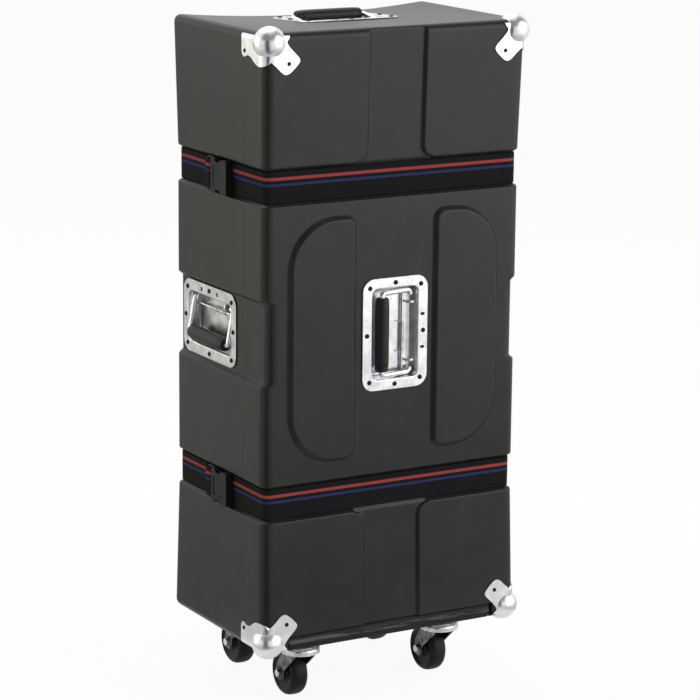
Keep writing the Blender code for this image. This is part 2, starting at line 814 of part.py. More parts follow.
def flange_outline():
    # the long flange on the side: distance from the front, distance from the end
    length = FLANGE_LENGTH
    height = FLANGE_HEIGHT
    lap = -CORNER_LAP
    tip = arc((length - FLANGE_ROUND, height - FLANGE_ROUND), FLANGE_ROUND, 0, 90, 2)
    waist = [(length - FLANGE_LOBE, height - FLANGE_WAIST),
             (length - FLANGE_LOBE - CORNER_LAP, height - FLANGE_WAIST / 2)]
    hump = [(FLANGE_SHOULDER, height + FLANGE_ROUND), (FLANGE_SHOULDER - FLANGE_ROUND, height + FLANGE_HUMP),
            (FLANGE_ROUND, height + FLANGE_HUMP), (lap, height + FLANGE_WAIST)]
    return [(lap, lap), (length, lap)] + tip + waist + hump


def build_corners():
    skin = case_body("corner_skin", -CLEARANCE - CORNER_SHEET)
    seat = case_body("corner_seat", -CLEARANCE)
    for end, top in (("top", True), ("bottom", False)):
        for hand, side in (("left", -1), ("right", 1)):
            frame = corner_frame(side, top)
            ball = bmesh.new()
            bmesh.ops.create_uvsphere(ball, u_segments=12, v_segments=8, radius=BALL_RADIUS)
            centre = frame @ Vector((BALL_INSET, BALL_INSET, BALL_INSET))
            bmesh.ops.translate(ball, vec=centre, verts=ball.verts)
            leaf = flat_plate("leaf", [leaf_outline()], CORNER_MASK)
            leaf.transform(frame @ axes((0, 0, 0), (1, 0, 0), (0, 0, 1), (0, -1, 0)))
            flange = flat_plate("flange", [flange_outline()], CORNER_MASK)
            flange.transform(frame @ axes((0, 0, 0), (0, 1, 0), (0, 0, 1), (1, 0, 0)))
            masks = [to_mesh(mesh_copy(shape), "mask") for shape in (leaf, flange)]
            mask = merged("corner_mask", masks[0], ('UNION', masks[1]))
            z_leaf = HEIGHT - LEAF_HOLE[1] if top else LEAF_HOLE[1]
            z_flange = HEIGHT - FLANGE_HOLE[1] if top else FLANGE_HOLE[1]
            skin_out = CLEARANCE + CORNER_SHEET
            leaf_spot = axes((side * (WIDTH / 2 - LEAF_HOLE[0]), -half_y(z_leaf) - skin_out, z_leaf),
                             (1, 0, 0), (0, 0, 1), (0, -1, 0))
            flange_spot = axes((side * (half_x(z_flange) + skin_out), FLANGE_HOLE[0] - DEPTH / 2, z_flange),
                               (0, side, 0), (0, 0, 1), (side, 0, 0))
            heads = [('UNION', rivet(spot)) for spot in (leaf_spot, flange_spot)]
            name = "_".join((end, hand, "ball_corner"))
            mesh = merged(name, skin.copy(), ('INTERSECT', mask), ('UNION', to_mesh(ball, "ball")),
                          ('DIFFERENCE', seat.copy()), *heads)
            add_piece(name, mesh, bright_steel)


def mesh_copy(mesh):
    bm = bmesh.new()
    bm.from_mesh(mesh)
    return bm


# straps and buckles

def strap_path(offset, front, end_y):
    # the webbing's line in the channel, from the left side to the right side
    radius = CORNER_RADIUS - CHANNEL_DEPTH
    x = CHANNEL_X - radius
    y = CHANNEL_Y - radius
    reach = radius + CLEARANCE + offset
    if front:
        path = [(-x - reach, end_y)]
        path += arc((-x, -y), reach, 180, 270, 4) + arc((x, -y), reach, 270, 360, 4)
        return path + [(x + reach, STRAP_END_Y)]
    path = [(x + reach, STRAP_END_Y + CLEARANCE)]
    path += arc((x, y), reach, 0, 90, 4) + arc((-x, y), reach, 90, 180, 4)
    return path + [(-x - reach, end_y)]


def strap(name, height, front, end_y):
    inner = strap_path(0, front, end_y)
    outer = strap_path(WEBBING_THICKNESS, front, end_y)
    mesh = flat_plate(name, [outer + inner[::-1]], WEBBING)
    mesh.transform(Matrix.Translation((0, 0, height)))
    return mesh


def buckle_frame(height):
    # buckle pieces are drawn with X towards the rear, Y up and Z out of the case
    return axes((-STRAP_INNER, BUCKLE_FRONT_Y, height), (0, 1, 0), (0, 0, -1), (-1, 0, 0))


def buckle_plate(outline, low, high):
    plate = flat_plate("plate", [outline], high - low, BUCKLE_CHAMFER)
    plate.transform(Matrix.Translation((0, 0, (low + high) / 2)))
    return plate


def channel_steps():
    # what a buckle's back leaves free for the channel's slopes, above and below
    depth = (BUCKLE_HEIGHT / 2 + CLEARANCE - CHANNEL_FLOOR / 2) * CHANNEL_DEPTH / CHANNEL_SLOPE + CLEARANCE
    inner = CHANNEL_FLOOR / 2 - CLEARANCE
    outer = BUCKLE_HEIGHT
    upper = box("step", (-outer, inner, -outer), (2 * outer, outer, depth))
    lower = box("step", (-outer, -outer, -outer), (2 * outer, -inner, depth))
    return [('DIFFERENCE', upper), ('DIFFERENCE', lower)]


def female_buckle():
    half = BUCKLE_HEIGHT / 2 - BUCKLE_CHAMFER
    length = BUCKLE_LENGTH - BUCKLE_CHAMFER
    corner = BUCKLE_CORNER
    near, far = BUCKLE_WINDOW
    ramp = BUCKLE_WINDOW_RAMP
    notch = half - BUCKLE_WINDOW_DEPTH
    upper = [(length, half - corner), (length - corner, half), (length - near, half),
             (length - near - ramp, notch), (length - far + ramp, notch), (length - far, half),
             (BUCKLE_CHAMFER + corner, half),
             (BUCKLE_CHAMFER, half - corner)]
    outline = upper + [(x, -y) for x, y in reversed(upper)]
    body = buckle_plate(outline, 0, BUCKLE_THICKNESS)
    half_cavity = CAVITY_HEIGHT / 2
    cavity = box("cavity", (BUCKLE_LENGTH - CAVITY_LENGTH, -half_cavity, CAVITY_LOW),
                 (2 * BUCKLE_LENGTH, half_cavity, CAVITY_HIGH))
    tuck = box("tuck", (-BUCKLE_LENGTH, -WEBBING / 2 - CLEARANCE, -BUCKLE_LENGTH),
               (STRAP_TUCK + CLEARANCE, WEBBING / 2 + CLEARANCE, WEBBING_THICKNESS + CLEARANCE))
    return merged("female", body, ('DIFFERENCE', cavity), ('DIFFERENCE', tuck), *channel_steps())


def male_buckle():
    start = BUCKLE_LENGTH + 2 * CLEARANCE
    half = BUCKLE_HEIGHT / 2 - BUCKLE_CHAMFER
    end = start + LADDER_LENGTH
    upper = [(end - BUCKLE_CHAMFER, half - BUCKLE_CORNER), (end - BUCKLE_CHAMFER - BUCKLE_CORNER, half),
             (start + BUCKLE_CHAMFER, half)]
    outline = upper + [(x, -y) for x, y in reversed(upper)]
    body = buckle_plate(outline, 0, LADDER_THICKNESS)
    middle = (CAVITY_LOW + CAVITY_HIGH) / 2
    tongue = box("tongue", (start - TONGUE_LENGTH, -TONGUE_WIDTH / 2, middle - TONGUE_THICKNESS / 2),
                 (start + BUCKLE_WALL, TONGUE_WIDTH / 2, middle + TONGUE_THICKNESS / 2))
    tuck = box("tuck", (start + LADDER_RIM, -WEBBING / 2 - CLEARANCE, -BUCKLE_LENGTH),
               (2 * end, WEBBING / 2 + CLEARANCE, WEBBING_THICKNESS + CLEARANCE))
    steps = [('UNION', tongue), ('DIFFERENCE', tuck)] + channel_steps()
    for i in range(2):
        x = start + LADDER_START + i * LADDER_STEP
        slot = box("slot", (x, -WEBBING / 2, WEBBING_THICKNESS / 2),
                   (x + LADDER_SLOT, WEBBING / 2, 2 * LADDER_THICKNESS))
        steps.append(('DIFFERENCE', slot))
    return merged("male", body, *steps)


def prong():
    # a barbed arm that springs outwards in the female half; drawn for the upper side
    root = BUCKLE_LENGTH + CLEARANCE
    tip = root - PRONG_LENGTH
    arm = PRONG_INNER_Z + PRONG_ARM
    step, rear, front, nose = PRONG_BARB
    outline = [(root, PRONG_INNER_Z), (root, arm), (tip + step, arm), (tip + rear, PRONG_OUTER_Z),
               (tip + front, PRONG_OUTER_Z), (tip + nose, arm), (tip, arm - nose), (tip, PRONG_INNER_Z)]
    plate = flat_plate("prong", [outline], PRONG_THICKNESS)
    plate.transform(Matrix.Translation((0, 0, (CAVITY_LOW + CAVITY_HIGH) / 2)))
    return plate


def build_straps():
    buckle_end = BUCKLE_FRONT_Y + BUCKLE_LENGTH + 2 * CLEARANCE
    female = female_buckle()
    male = male_buckle()
    prong_mesh = prong()
    for level, height in (("upper", UPPER_STRAP_Z), ("lower", LOWER_STRAP_Z)):
        name = level + "_strap_front"
        add_piece(name, strap(name, height, True, BUCKLE_FRONT_Y + STRAP_TUCK), webbing)
        name = level + "_strap_rear"
        add_piece(name, strap(name, height, False, buckle_end + LADDER_START), webbing)
        frame = buckle_frame(height)
        add_piece(level + "_buckle_female", female, black_buckle, frame)
        add_piece(level + "_buckle_male", male, black_buckle, frame)
        for where, sign in (("top", -1), ("bottom", 1)):
            flip = Matrix.Scale(sign, 4, (0, 1, 0))
            mesh = moved(prong_mesh, frame @ flip)
            bm = mesh_copy(mesh)
            name = "_".join((level, "prong", where))
            add_piece(name, to_mesh(bm, name), black_buckle)


# casters and their board

def caster_places():
    return {"front_left": (-CASTER_X, -CASTER_Y), "front_right": (CASTER_X, -CASTER_Y),
            "rear_left": (-CASTER_X, CASTER_Y), "rear_right": (CASTER_X, CASTER_Y)}


def screw_places():
    x = WIDTH / 2 - BOARD_SCREW_INSET_X
    rows = (BOARD_SCREW_FRONT_INSET - DEPTH / 2, DEPTH / 2 - BOARD_SCREW_REAR_INSET)
    return [(sign * x, y) for y in rows for sign in (-1, 1)]


def bolt_offsets():
    half = CASTER_BOLT_SPACING / 2
    return [(x, y) for x in (-half, half) for y in (-half, half)]


def screw(seat):
    # six-sided screw with its point up; the face its head bears on is Z = 0 and seat is the gap left there
    head = SCREW_HEAD / 2
    shank = SCREW_SHANK / 2
    profile = [(0, SCREW_BITE), (shank, SCREW_BITE), (shank, -seat), (head, -seat),
               (head, -SCREW_HEAD_HEIGHT), (0, -SCREW_HEAD_HEIGHT)]
    return turned("screw", profile, 6)


def screw_hole(x, y, low, high):
    # six-sided like the shank, and turned the same way
    radius = SCREW_SHANK / 2 + CLEARANCE
    mesh = turned("screw_hole", [(0, high), (radius, high), (radius, low), (0, low)], 6)
    mesh.transform(Matrix.Translation((x, y, 0)))
    return mesh


def build_board():
    half = BOARD_WIDTH / 2
    reach = DEPTH / 2 - BOARD_SET_BACK
    board = round_box("caster_board", (-half, -reach, 0), (half, reach, BOARD_THICKNESS), BOARD_ROUND)
    holes = []
    depth = SCREW_BITE - CASTER_PLATE_THICKNESS
    for x, y in caster_places().values():
        for dx, dy in bolt_offsets():
            holes.append(screw_hole(x + dx, y + dy, -BOARD_ROUND, depth))
    for x, y in screw_places():
        holes.append(screw_hole(x, y, SLOT_TOP + WALL - SCREW_BITE - CLEARANCE, 2 * BOARD_THICKNESS))
    mesh = merged("caster_board", board, ('DIFFERENCE', joined("holes", holes)))
    add_piece("caster_board", mesh, black_board)
    mesh = screw(CLEARANCE)
    upside_down = Matrix.Rotation(math.pi, 4, 'X')
    for i, (x, y) in enumerate(screw_places()):
        place = Matrix.Translation((x, y, SLOT_TOP + WALL)) @ upside_down
        add_piece("board_screw_" + str(i + 1), mesh, zinc_plate, place)


def caster_plate():
    top = -CLEARANCE
    under = top - CASTER_PLATE_THICKNESS
    half = CASTER_PLATE / 2
    square = flat_plate("square", [round_rectangle(half, half, CASTER_PLATE_CORNER, 2)], CASTER_PLATE_THICKNESS)
    square.transform(Matrix.Translation((0, 0, (top + under) / 2)))
    race = RACE_DIAMETER / 2
    pin = KINGPIN / 2 - CLEARANCE
    crown_under = CROWN_TOP - FORK_SHEET
    root = top - CASTER_PLATE_THICKNESS / 3
    lip = under - RACE_DEPTH
    above = CROWN_TOP + CLEARANCE
    below = crown_under - CLEARANCE
    profile = [(0, root), (race - RACE_ROUND, root), (race, under - RACE_ROUND), (race, lip),
               (race - 2 * RACE_ROUND, lip), (RACE_CONE, above), (pin, above), (pin, below),
               (pin + KINGPIN_HEAD, below), (pin + KINGPIN_HEAD / 2, below - KINGPIN_HEAD_HEIGHT),
               (0, below - KINGPIN_HEAD_HEIGHT)]
    steps = [('UNION', turned("race", profile, 12))]
    for dx, dy in bolt_offsets():
        bolt = screw(-CLEARANCE)
        bolt.transform(Matrix.Translation((dx, dy, under)))
        steps.append(('UNION', bolt))
    return merged("caster_plate", square, *steps)


def caster_fork():
    # an upturned dish with two legs; its Z axis is the swivel
    outer = CROWN_DIAMETER / 2
    top = CROWN_TOP
    rim = top - CROWN_DEPTH
    sheet = FORK_SHEET
    bore = KINGPIN / 2
    shoulder = CROWN_SHOULDER
    profile = [(bore, top), (outer - shoulder, top), (outer, top - shoulder), (outer, rim),
               (outer - sheet, rim), (outer - sheet, top - shoulder - sheet / 2),
               (outer - shoulder - sheet / 2, top - sheet), (bore, top - sheet)]
    crown = turned("crown", profile, 14)
    boss = AXLE_BOSS / 2
    neck = FORK_NECK
    leg = [(-neck, top - sheet / 2), (-neck, rim), (TRAIL - boss, AXLE_Z + boss / 2)]
    leg += arc((TRAIL, AXLE_Z), boss, 180, 360, 5)
    leg += [(TRAIL + boss, AXLE_Z + boss), (neck + boss / 2, rim - boss / 2), (neck, rim),
            (neck, top - sheet / 2)]
    steps = []
    bore_turn = Matrix.Rotation(math.pi / 2, 4, 'Y')
    for side in (-1, 1):
        x = side * (FORK_GAP + sheet) / 2
        plate = flat_plate("leg", [leg], sheet)
        plate.transform(axes((x, 0, 0), (0, 1, 0), (0, 0, 1), (1, 0, 0)))
        steps.append(('UNION', plate))
        spot = Matrix.Translation((x, TRAIL, AXLE_Z)) @ bore_turn
        steps.append(('DIFFERENCE', cylinder("hole", AXLE / 2 + CLEARANCE, 2 * sheet, 8, spot)))
    return merged("caster_fork", crown, *steps)


def caster_wheel():
    # turned round its own axle, which lies along X
    radius = WHEEL_DIAMETER / 2
    half = WHEEL_WIDTH / 2
    hub = WHEEL_HUB / 2
    bore = AXLE / 2 + CLEARANCE
    web = half - WHEEL_DISH
    step = WHEEL_STEP
    tread = WHEEL_ROUND
    right = [(bore, half), (hub, half), (hub + step, web), (radius - tread - 2 * step, web),
             (radius - tread - step, half), (radius - tread / 2, half - tread / 4), (radius, half - tread)]
    profile = right + [(across, -along) for across, along in reversed(right)]
    mesh = turned("caster_wheel", profile, 16)
    mesh.transform(Matrix.Rotation(math.pi / 2, 4, 'Y'))
    return mesh


def caster_axle():
    # bolt and nut through both legs
    outside = FORK_GAP / 2 + FORK_SHEET + CLEARANCE
    head = AXLE_HEAD / 2
    shank = AXLE / 2
    far = outside + AXLE_HEAD_HEIGHT
    profile = [(0, far), (head, far), (head, outside), (shank, outside),
               (shank, -outside), (head, -outside), (head, -far), (0, -far)]
    mesh = turned("caster_axle", profile, 8)
    mesh.transform(Matrix.Rotation(math.pi / 2, 4, 'Y'))
    return mesh


def build_casters():
    plate = caster_plate()
    fork = caster_fork()
    wheel = caster_wheel()
    axle = caster_axle()
    for name, (x, y) in caster_places().items():
        place = Matrix.Translation((x, y, 0))
        hub = Matrix.Translation((x, y + TRAIL, AXLE_Z))
        add_piece(name + "_caster_plate", plate, zinc_plate, place)
        add_piece(name + "_caster_fork", fork, zinc_plate, place)
        add_piece(name + "_caster_wheel", wheel, black_rubber, hub)
        add_piece(name + "_caster_axle", axle, zinc_plate, hub)


clear_scene()
pieces = new_collection("drum_hardware_case")
tools = new_collection("cutters")
stand = bpy.data.objects.new("case_bottom_centre", None)
stand.location = (0, (FRONT_REACH - REAR_REACH) / 2, CASTER_HEIGHT)
pieces.objects.link(stand)

black_shell = finish("black_polyethylene", (0.035, 0.036, 0.036), 0.55, 0)
black_board = finish("black_board", (0.02, 0.02, 0.02), 0.6, 0)
zinc_plate = finish("zinc_plated_steel", (0.72, 0.73, 0.74), 0.3, 1)
bright_steel = finish("bright_steel", (0.8, 0.81, 0.82), 0.18, 1)
black_grip = finish("black_grip", (0.02, 0.02, 0.02), 0.5, 0)
webbing = finish("black_webbing", (0.015, 0.015, 0.017), 0.8, 0)
black_buckle = finish("black_buckle", (0.02, 0.02, 0.022), 0.4, 0)
black_rubber = finish("black_rubber", (0.02, 0.02, 0.02), 0.6, 0)

handle_spots = handle_places()
build_shells(handle_spots)
build_handles(handle_spots)
build_corners()
build_straps()
build_board()
build_casters()
bpy.context.view_layer.update()
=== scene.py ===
import math

import bmesh
import bpy
from mathutils import Matrix, Vector, noise


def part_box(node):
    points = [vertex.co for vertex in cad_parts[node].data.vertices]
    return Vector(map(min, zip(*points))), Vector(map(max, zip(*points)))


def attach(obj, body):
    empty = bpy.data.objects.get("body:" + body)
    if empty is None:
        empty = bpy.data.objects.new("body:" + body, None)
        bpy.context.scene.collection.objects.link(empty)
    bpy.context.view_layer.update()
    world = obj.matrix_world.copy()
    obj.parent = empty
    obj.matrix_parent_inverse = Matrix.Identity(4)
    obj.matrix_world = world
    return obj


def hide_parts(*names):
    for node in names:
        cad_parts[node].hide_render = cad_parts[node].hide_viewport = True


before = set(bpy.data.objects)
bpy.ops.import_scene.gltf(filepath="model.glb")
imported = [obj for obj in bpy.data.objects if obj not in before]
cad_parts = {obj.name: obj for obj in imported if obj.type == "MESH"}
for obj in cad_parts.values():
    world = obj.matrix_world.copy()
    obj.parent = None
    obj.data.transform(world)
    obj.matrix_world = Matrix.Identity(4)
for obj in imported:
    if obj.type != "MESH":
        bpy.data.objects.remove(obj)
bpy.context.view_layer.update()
boardLow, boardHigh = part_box("caster_board")
lift = Vector((0, (boardLow.y + boardHigh.y) / 2, boardLow.z))   # middle of the case's bottom
print("frame loaded:", len(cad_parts), "nodes")

gap = 0.0003      # room between pieces that touch


# shader maths

class Wire:
    # a socket that can be used in sums

    def __init__(self, graph, socket):
        self.graph = graph
        self.socket = socket

    def sum(self, operation, *values):
        return self.graph.node("ShaderNodeMath", {"operation": operation}, dict(enumerate(values)))

    def __add__(self, other):
        return self.sum("ADD", self, other)

    def __mul__(self, other):
        return self.sum("MULTIPLY", self, other)

    def __sub__(self, other):
        return self.sum("SUBTRACT", self, other)

    def __rsub__(self, other):
        return self.sum("SUBTRACT", other, self)

    __radd__ = __add__
    __rmul__ = __mul__

    def output(self, key):
        # another output of the same node
        return Wire(self.graph, self.socket.node.outputs[key])

    def sine(self):
        return self.sum("SINE", self)

    def size(self):
        return self.sum("ABSOLUTE", self)

    def ramp(self, low, high):
        # 0 below low, 1 above high
        return self.graph.node("ShaderNodeMapRange", {"interpolation_type": "SMOOTHSTEP"},
                               {"Value": self, "From Min": low, "From Max": high})

    def near(self, middle, half, soft):
        # 1 within half of middle, falling to 0 over soft
        return 1 - (self - middle).size().ramp(half, half + soft)


class Graph:
    # the nodes of a material or of the world

    def __init__(self, name, home=bpy.data.materials, shader="Principled BSDF", **values):
        self.owner = home.new(name)
        self.owner.use_nodes = True
        self.tree = self.owner.node_tree
        self.shader = self.tree.nodes[shader]
        self.set(**values)

    def node(self, kind, settings=None, inputs=None, out=0):
        made = self.tree.nodes.new(kind)
        for key, value in (settings or {}).items():
            setattr(made, key, value)
        for key, value in (inputs or {}).items():
            self.feed(made.inputs[key], value)
        return Wire(self, made.outputs[out])

    def feed(self, socket, value):
        if isinstance(value, Wire):
            self.tree.links.new(value.socket, socket)
        elif socket.type == "RGBA" and len(value) == 3:
            socket.default_value = (*value, 1)
        else:
            socket.default_value = value

    def set(self, **values):
        for key, value in values.items():
            self.feed(self.shader.inputs[key.replace("_", " ")], value)

    def place(self):
        return self.node("ShaderNodeTexCoord", out=3)

    def seenBy(self, *rays):
        # 1 for the kinds of ray named
        path = self.node("ShaderNodeLightPath")
        kinds = [path.output(ray) for ray in rays]
        seen = kinds[0]
        for kind in kinds[1:]:
            seen = seen.sum("MAXIMUM", seen, kind)
        return seen

    def axes(self, vector):
        split = self.node("ShaderNodeSeparateXYZ", inputs={0: vector})
        return [split.output(i) for i in range(3)]

    def cloud(self, vector, scale, detail=3.0, rough=0.5, warp=0.0):
        return self.node("ShaderNodeTexNoise", inputs={
            "Vector": vector, "Scale": scale, "Detail": detail, "Roughness": rough, "Distortion": warp})

    def cells(self, vector, scale, feature):
        return self.node("ShaderNodeTexVoronoi", {"feature": feature}, {"Vector": vector, "Scale": scale})

    def stretch(self, vector, factors):
        return self.node("ShaderNodeVectorMath", {"operation": "MULTIPLY"}, {0: vector, 1: factors})

    def mix(self, factor, first, second):
        return self.node("ShaderNodeMix", {"data_type": "RGBA"}, {0: factor, 6: first, 7: second}, out=2)

    def bump(self, height, strength, distance, under=None):
        values = {"Height": height, "Strength": strength, "Distance": distance}
        if under is not None:
            values["Normal"] = under
        return self.node("ShaderNodeBump", inputs=values)


# materials

shellLook = {"dark": (0.0095, 0.0100, 0.0092), "colour": (0.0135, 0.0140, 0.0130),
             "pale": (0.021, 0.0215, 0.020), "scuff": (0.060, 0.061, 0.058), "specular": 0.28,
             "roughness": 0.31, "grainSize": 620, "grainHeight": 0.00009, "lumpHeight": 0.003}


def makePolyethylene():
    look = shellLook
    g = Graph("blackPolyethylene", Specular_IOR_Level=look["specular"])
    place = g.place()
    cloud = g.cloud(place, 5.0, 4.0, 0.55)
    fine = g.cloud(place, 42.0, 5.0, 0.6)
    tone = g.mix(cloud.ramp(0.35, 0.68), look["dark"], look["colour"])
    tone = g.mix(fine.ramp(0.45, 0.85) * 0.5, tone, look["pale"])
    streaks = g.cloud(g.stretch(place, (55.0, 55.0, 7.0)), 3.0, 6.0, 0.7, 0.6)
    scratches = g.cells(g.stretch(place, (9.0, 9.0, 1.4)), 24.0, "DISTANCE_TO_EDGE")
    scuffs = streaks.ramp(0.60, 0.74) * (1 - scratches.ramp(0.0, 0.018))
    tone = g.mix(scuffs * 0.55, tone, look["scuff"])
    grain = g.cells(place, look["grainSize"], "SMOOTH_F1") * 0.8 + g.cloud(place, 1900.0, 2.0, 0.6) * 0.35
    lumps = g.bump(g.cloud(place, 16.0, 2.0, 0.5), 0.22, look["lumpHeight"])
    g.set(Base_Color=tone, Roughness=look["roughness"] + cloud * 0.10 - scuffs * 0.05,
          Normal=g.bump(grain, 0.55, look["grainHeight"], lumps))
    return g.owner


zincLook = {"dark": (0.58, 0.59, 0.61), "pale": (0.76, 0.76, 0.77), "spot": (0.30, 0.31, 0.33),
            "roughness": 0.20, "relief": 0.0002}


def makeZinc():
    look = zincLook
    g = Graph("zincPlate", Metallic=1.0)
    place = g.place()
    cloud = g.cloud(place, 60.0, 4.0, 0.6)
    brushed = g.cloud(g.stretch(place, (1.0, 1.0, 0.22)), 900.0, 3.0, 0.7)
    spots = g.cloud(place, 210.0, 4.0, 0.7)
    tone = g.mix(cloud.ramp(0.35, 0.7), look["dark"], look["pale"])
    tone = g.mix(spots.ramp(0.54, 0.74) * 0.7, tone, look["spot"])
    g.set(Base_Color=tone, Roughness=look["roughness"] + cloud * 0.14 + brushed * 0.06,
          Normal=g.bump(brushed + cloud * 0.8, 0.16, look["relief"]))
    return g.owner


polishedLook = {"dark": (0.76, 0.77, 0.78), "pale": (0.88, 0.88, 0.88), "roughness": 0.24, "relief": 0.0004}


def makePolishedSteel():
    look = polishedLook
    g = Graph("polishedSteel", Metallic=1.0)
    place = g.place()
    cloud = g.cloud(place, 85.0, 4.0, 0.6)
    scratches = g.cloud(g.stretch(place, (1.0, 0.18, 1.0)), 1500.0, 3.0, 0.75)
    g.set(Base_Color=g.mix(cloud.ramp(0.3, 0.75), look["dark"], look["pale"]),
          Roughness=look["roughness"] + cloud * 0.12 + scratches.ramp(0.55, 0.8) * 0.08,
          Normal=g.bump(cloud + scratches * 0.3, 0.35, look["relief"]))
    return g.owner


rivetLook = {"dark": (0.010, 0.010, 0.011), "pale": (0.045, 0.045, 0.048), "roughness": 0.34}


# dark steel for the rivet heads; the handle plates' cut edges also get it as painted shade
def makeDarkRivetAndPaintedEdgeShade():
    look = rivetLook
    g = Graph("darkRivetAndPaintedEdgeShade", Metallic=1.0)
    cloud = g.cloud(g.place(), 400.0, 3.0, 0.6)
    g.set(Base_Color=g.mix(cloud, look["dark"], look["pale"]), Roughness=look["roughness"] + cloud * 0.2)
    return g.owner


shadedSteelLook = {"dark": (0.035, 0.035, 0.038), "pale": (0.24, 0.24, 0.25), "spot": (0.05, 0.05, 0.05),
             "roughness": 0.24, "relief": 0.0004}


def makeShadedDullSteel():
    # dark, dull plated steel for the casters' fork legs and axle washers; on the legs it is painted shade,
    # darker than the zinc crown pressed in one with them
    look = shadedSteelLook
    g = Graph("dullSteelWithPaintedShade", Metallic=1.0)
    place = g.place()
    cloud = g.cloud(place, 70.0, 5.0, 0.65)
    spots = g.cloud(place, 320.0, 4.0, 0.7)
    tone = g.mix(cloud.ramp(0.36, 0.64), look["dark"], look["pale"])
    tone = g.mix(spots.ramp(0.60, 0.75) * 0.7, tone, look["spot"])
    g.set(Base_Color=tone, Roughness=look["roughness"] + cloud * 0.25,
          Normal=g.bump(cloud + spots * 0.4, 0.25, look["relief"]))
    return g.owner


plasticLooks = {
    "buckleNylon": {"dark": (0.005, 0.005, 0.006), "pale": (0.009, 0.009, 0.010), "roughness": 0.34,
                    "specular": 0.15, "grainSize": 900.0, "grainHeight": 0.00012},
    "gripMoulding": {"dark": (0.004, 0.004, 0.004), "pale": (0.009, 0.009, 0.010), "roughness": 0.40,
                     "specular": 0.30, "grainSize": 1400.0, "grainHeight": 0.00012}}


def makePlastic(name):
    look = plasticLooks[name]
    g = Graph(name, Specular_IOR_Level=look["specular"])
    place = g.place()
    cloud = g.cloud(place, 30.0, 4.0, 0.6)
    grain = g.cloud(place, look["grainSize"], 3.0, 0.6)
    g.set(Base_Color=g.mix(cloud.ramp(0.35, 0.75), look["dark"], look["pale"]),
          Roughness=look["roughness"] + cloud * 0.12, Normal=g.bump(grain, 0.25, look["grainHeight"]))
    return g.owner


paintLook = {"dark": (0.006, 0.006, 0.006), "pale": (0.014, 0.0135, 0.013), "paintedHighlightAndWear": (0.11, 0.105, 0.10),
             "specular": 0.2, "roughness": 0.50, "relief": 0.0004,
             "paintedHighlightAt": 0.0115, "paintedHighlightHalf": 0.0008, "paintedHighlightSoft": 0.0035}


def makePaintedWood():
    # a painted highlight along the middle of the board's rounded edge, broken into dashes like wear
    look = paintLook
    g = Graph("blackBoard", Specular_IOR_Level=look["specular"])
    place = g.place()
    z = g.axes(place)[2]
    fibre = g.cloud(g.stretch(place, (3.0, 60.0, 60.0)), 6.0, 6.0, 0.65)
    highlightAndWearDashes = g.cloud(g.stretch(place, (5.0, 40.0, 60.0)), 4.0, 6.0, 0.7)
    # painted highlight: a pale band just above the middle of the board's edge, where the rounded edge would
    # shine
    rim = z.near(lift.z + look["paintedHighlightAt"], look["paintedHighlightHalf"], look["paintedHighlightSoft"])
    tone = g.mix(fibre.ramp(0.35, 0.7), look["dark"], look["pale"])
    tone = g.mix(highlightAndWearDashes.ramp(0.44, 0.60) * rim * 0.8, tone, look["paintedHighlightAndWear"])
    g.set(Base_Color=tone, Roughness=look["roughness"] + fibre * 0.2,
          Normal=g.bump(fibre, 0.4, look["relief"]))
    return g.owner


webbingLook = {"black": (0.0045, 0.0045, 0.0055), "thread": (0.012, 0.012, 0.014),
               # (place above the middle, half width, colour)
               "lines": ((0.0105, 0.0017, (0.38, 0.060, 0.060)), (0.0030, 0.00136, (0.030, 0.036, 0.125))),
               "soft": 0.0004, "wobble": 0.0004, "pick": 0.0016, "specular": 0.12, "roughness": 0.78,
               "relief": 0.0004}


def makeWebbing():
    # the map's U runs along the webbing and V across it, both in metres
    look = webbingLook
    g = Graph("stripedWebbing", Specular_IOR_Level=look["specular"])
    u, v, _ = g.axes(g.node("ShaderNodeUVMap", {"uv_map": "webbing"}))
    across = v + g.cloud(g.place(), 160.0, 2.0, 0.5) * look["wobble"]
    turn = 2 * math.pi / look["pick"]
    warp = (v * (turn * 1.15)).sine()
    weft = (u * turn + warp * 1.3).sine()
    weave = weft * 0.5 + warp * 0.35 + 0.5
    tone = g.mix(weave.ramp(0.2, 1.2), look["black"], look["thread"])
    dim = 0.45 + weave * 0.6
    for middle, half, colour in look["lines"]:
        tone = g.mix(across.near(middle, half, look["soft"]) * dim, tone, colour)
    fuzz = g.cloud(g.place(), 2600.0, 2.0, 0.7)
    g.set(Base_Color=tone, Roughness=look["roughness"] + fuzz * 0.12,
          Normal=g.bump(weave + fuzz * 0.4, 0.7, look["relief"]))
    return g.owner


rubberLook = {"dark": (0.0025, 0.0025, 0.0025), "pale": (0.006, 0.006, 0.006), "dust": (0.040, 0.039, 0.036),
              "specular": 0.2, "roughness": 0.36, "relief": 0.0005}


def makeRubber():
    look = rubberLook
    g = Graph("wheelRubber", Specular_IOR_Level=look["specular"])
    place = g.place()
    cloud = g.cloud(place, 55.0, 5.0, 0.65)
    dust = g.cloud(place, 14.0, 4.0, 0.6)
    tone = g.mix(cloud.ramp(0.3, 0.8), look["dark"], look["pale"])
    tone = g.mix(dust.ramp(0.58, 0.88) * 0.25, tone, look["dust"])
    g.set(Base_Color=tone, Roughness=look["roughness"] + cloud * 0.25,
          Normal=g.bump(cloud, 0.25, look["relief"]))
    return g.owner


looks = {
    "shell": makePolyethylene(),
    "zinc": makeZinc(),
    "polished": makePolishedSteel(),
    "rivet": makeDarkRivetAndPaintedEdgeShade(),
    "board": makePaintedWood(),
    "webbing": makeWebbing(),
    "buckle": makePlastic("buckleNylon"),
    "grip": makePlastic("gripMoulding"),
    "shadedSteel": makeShadedDullSteel(),
    "rubber": makeRubber(),
}
print("materials made:", len(looks))


# mesh helpers

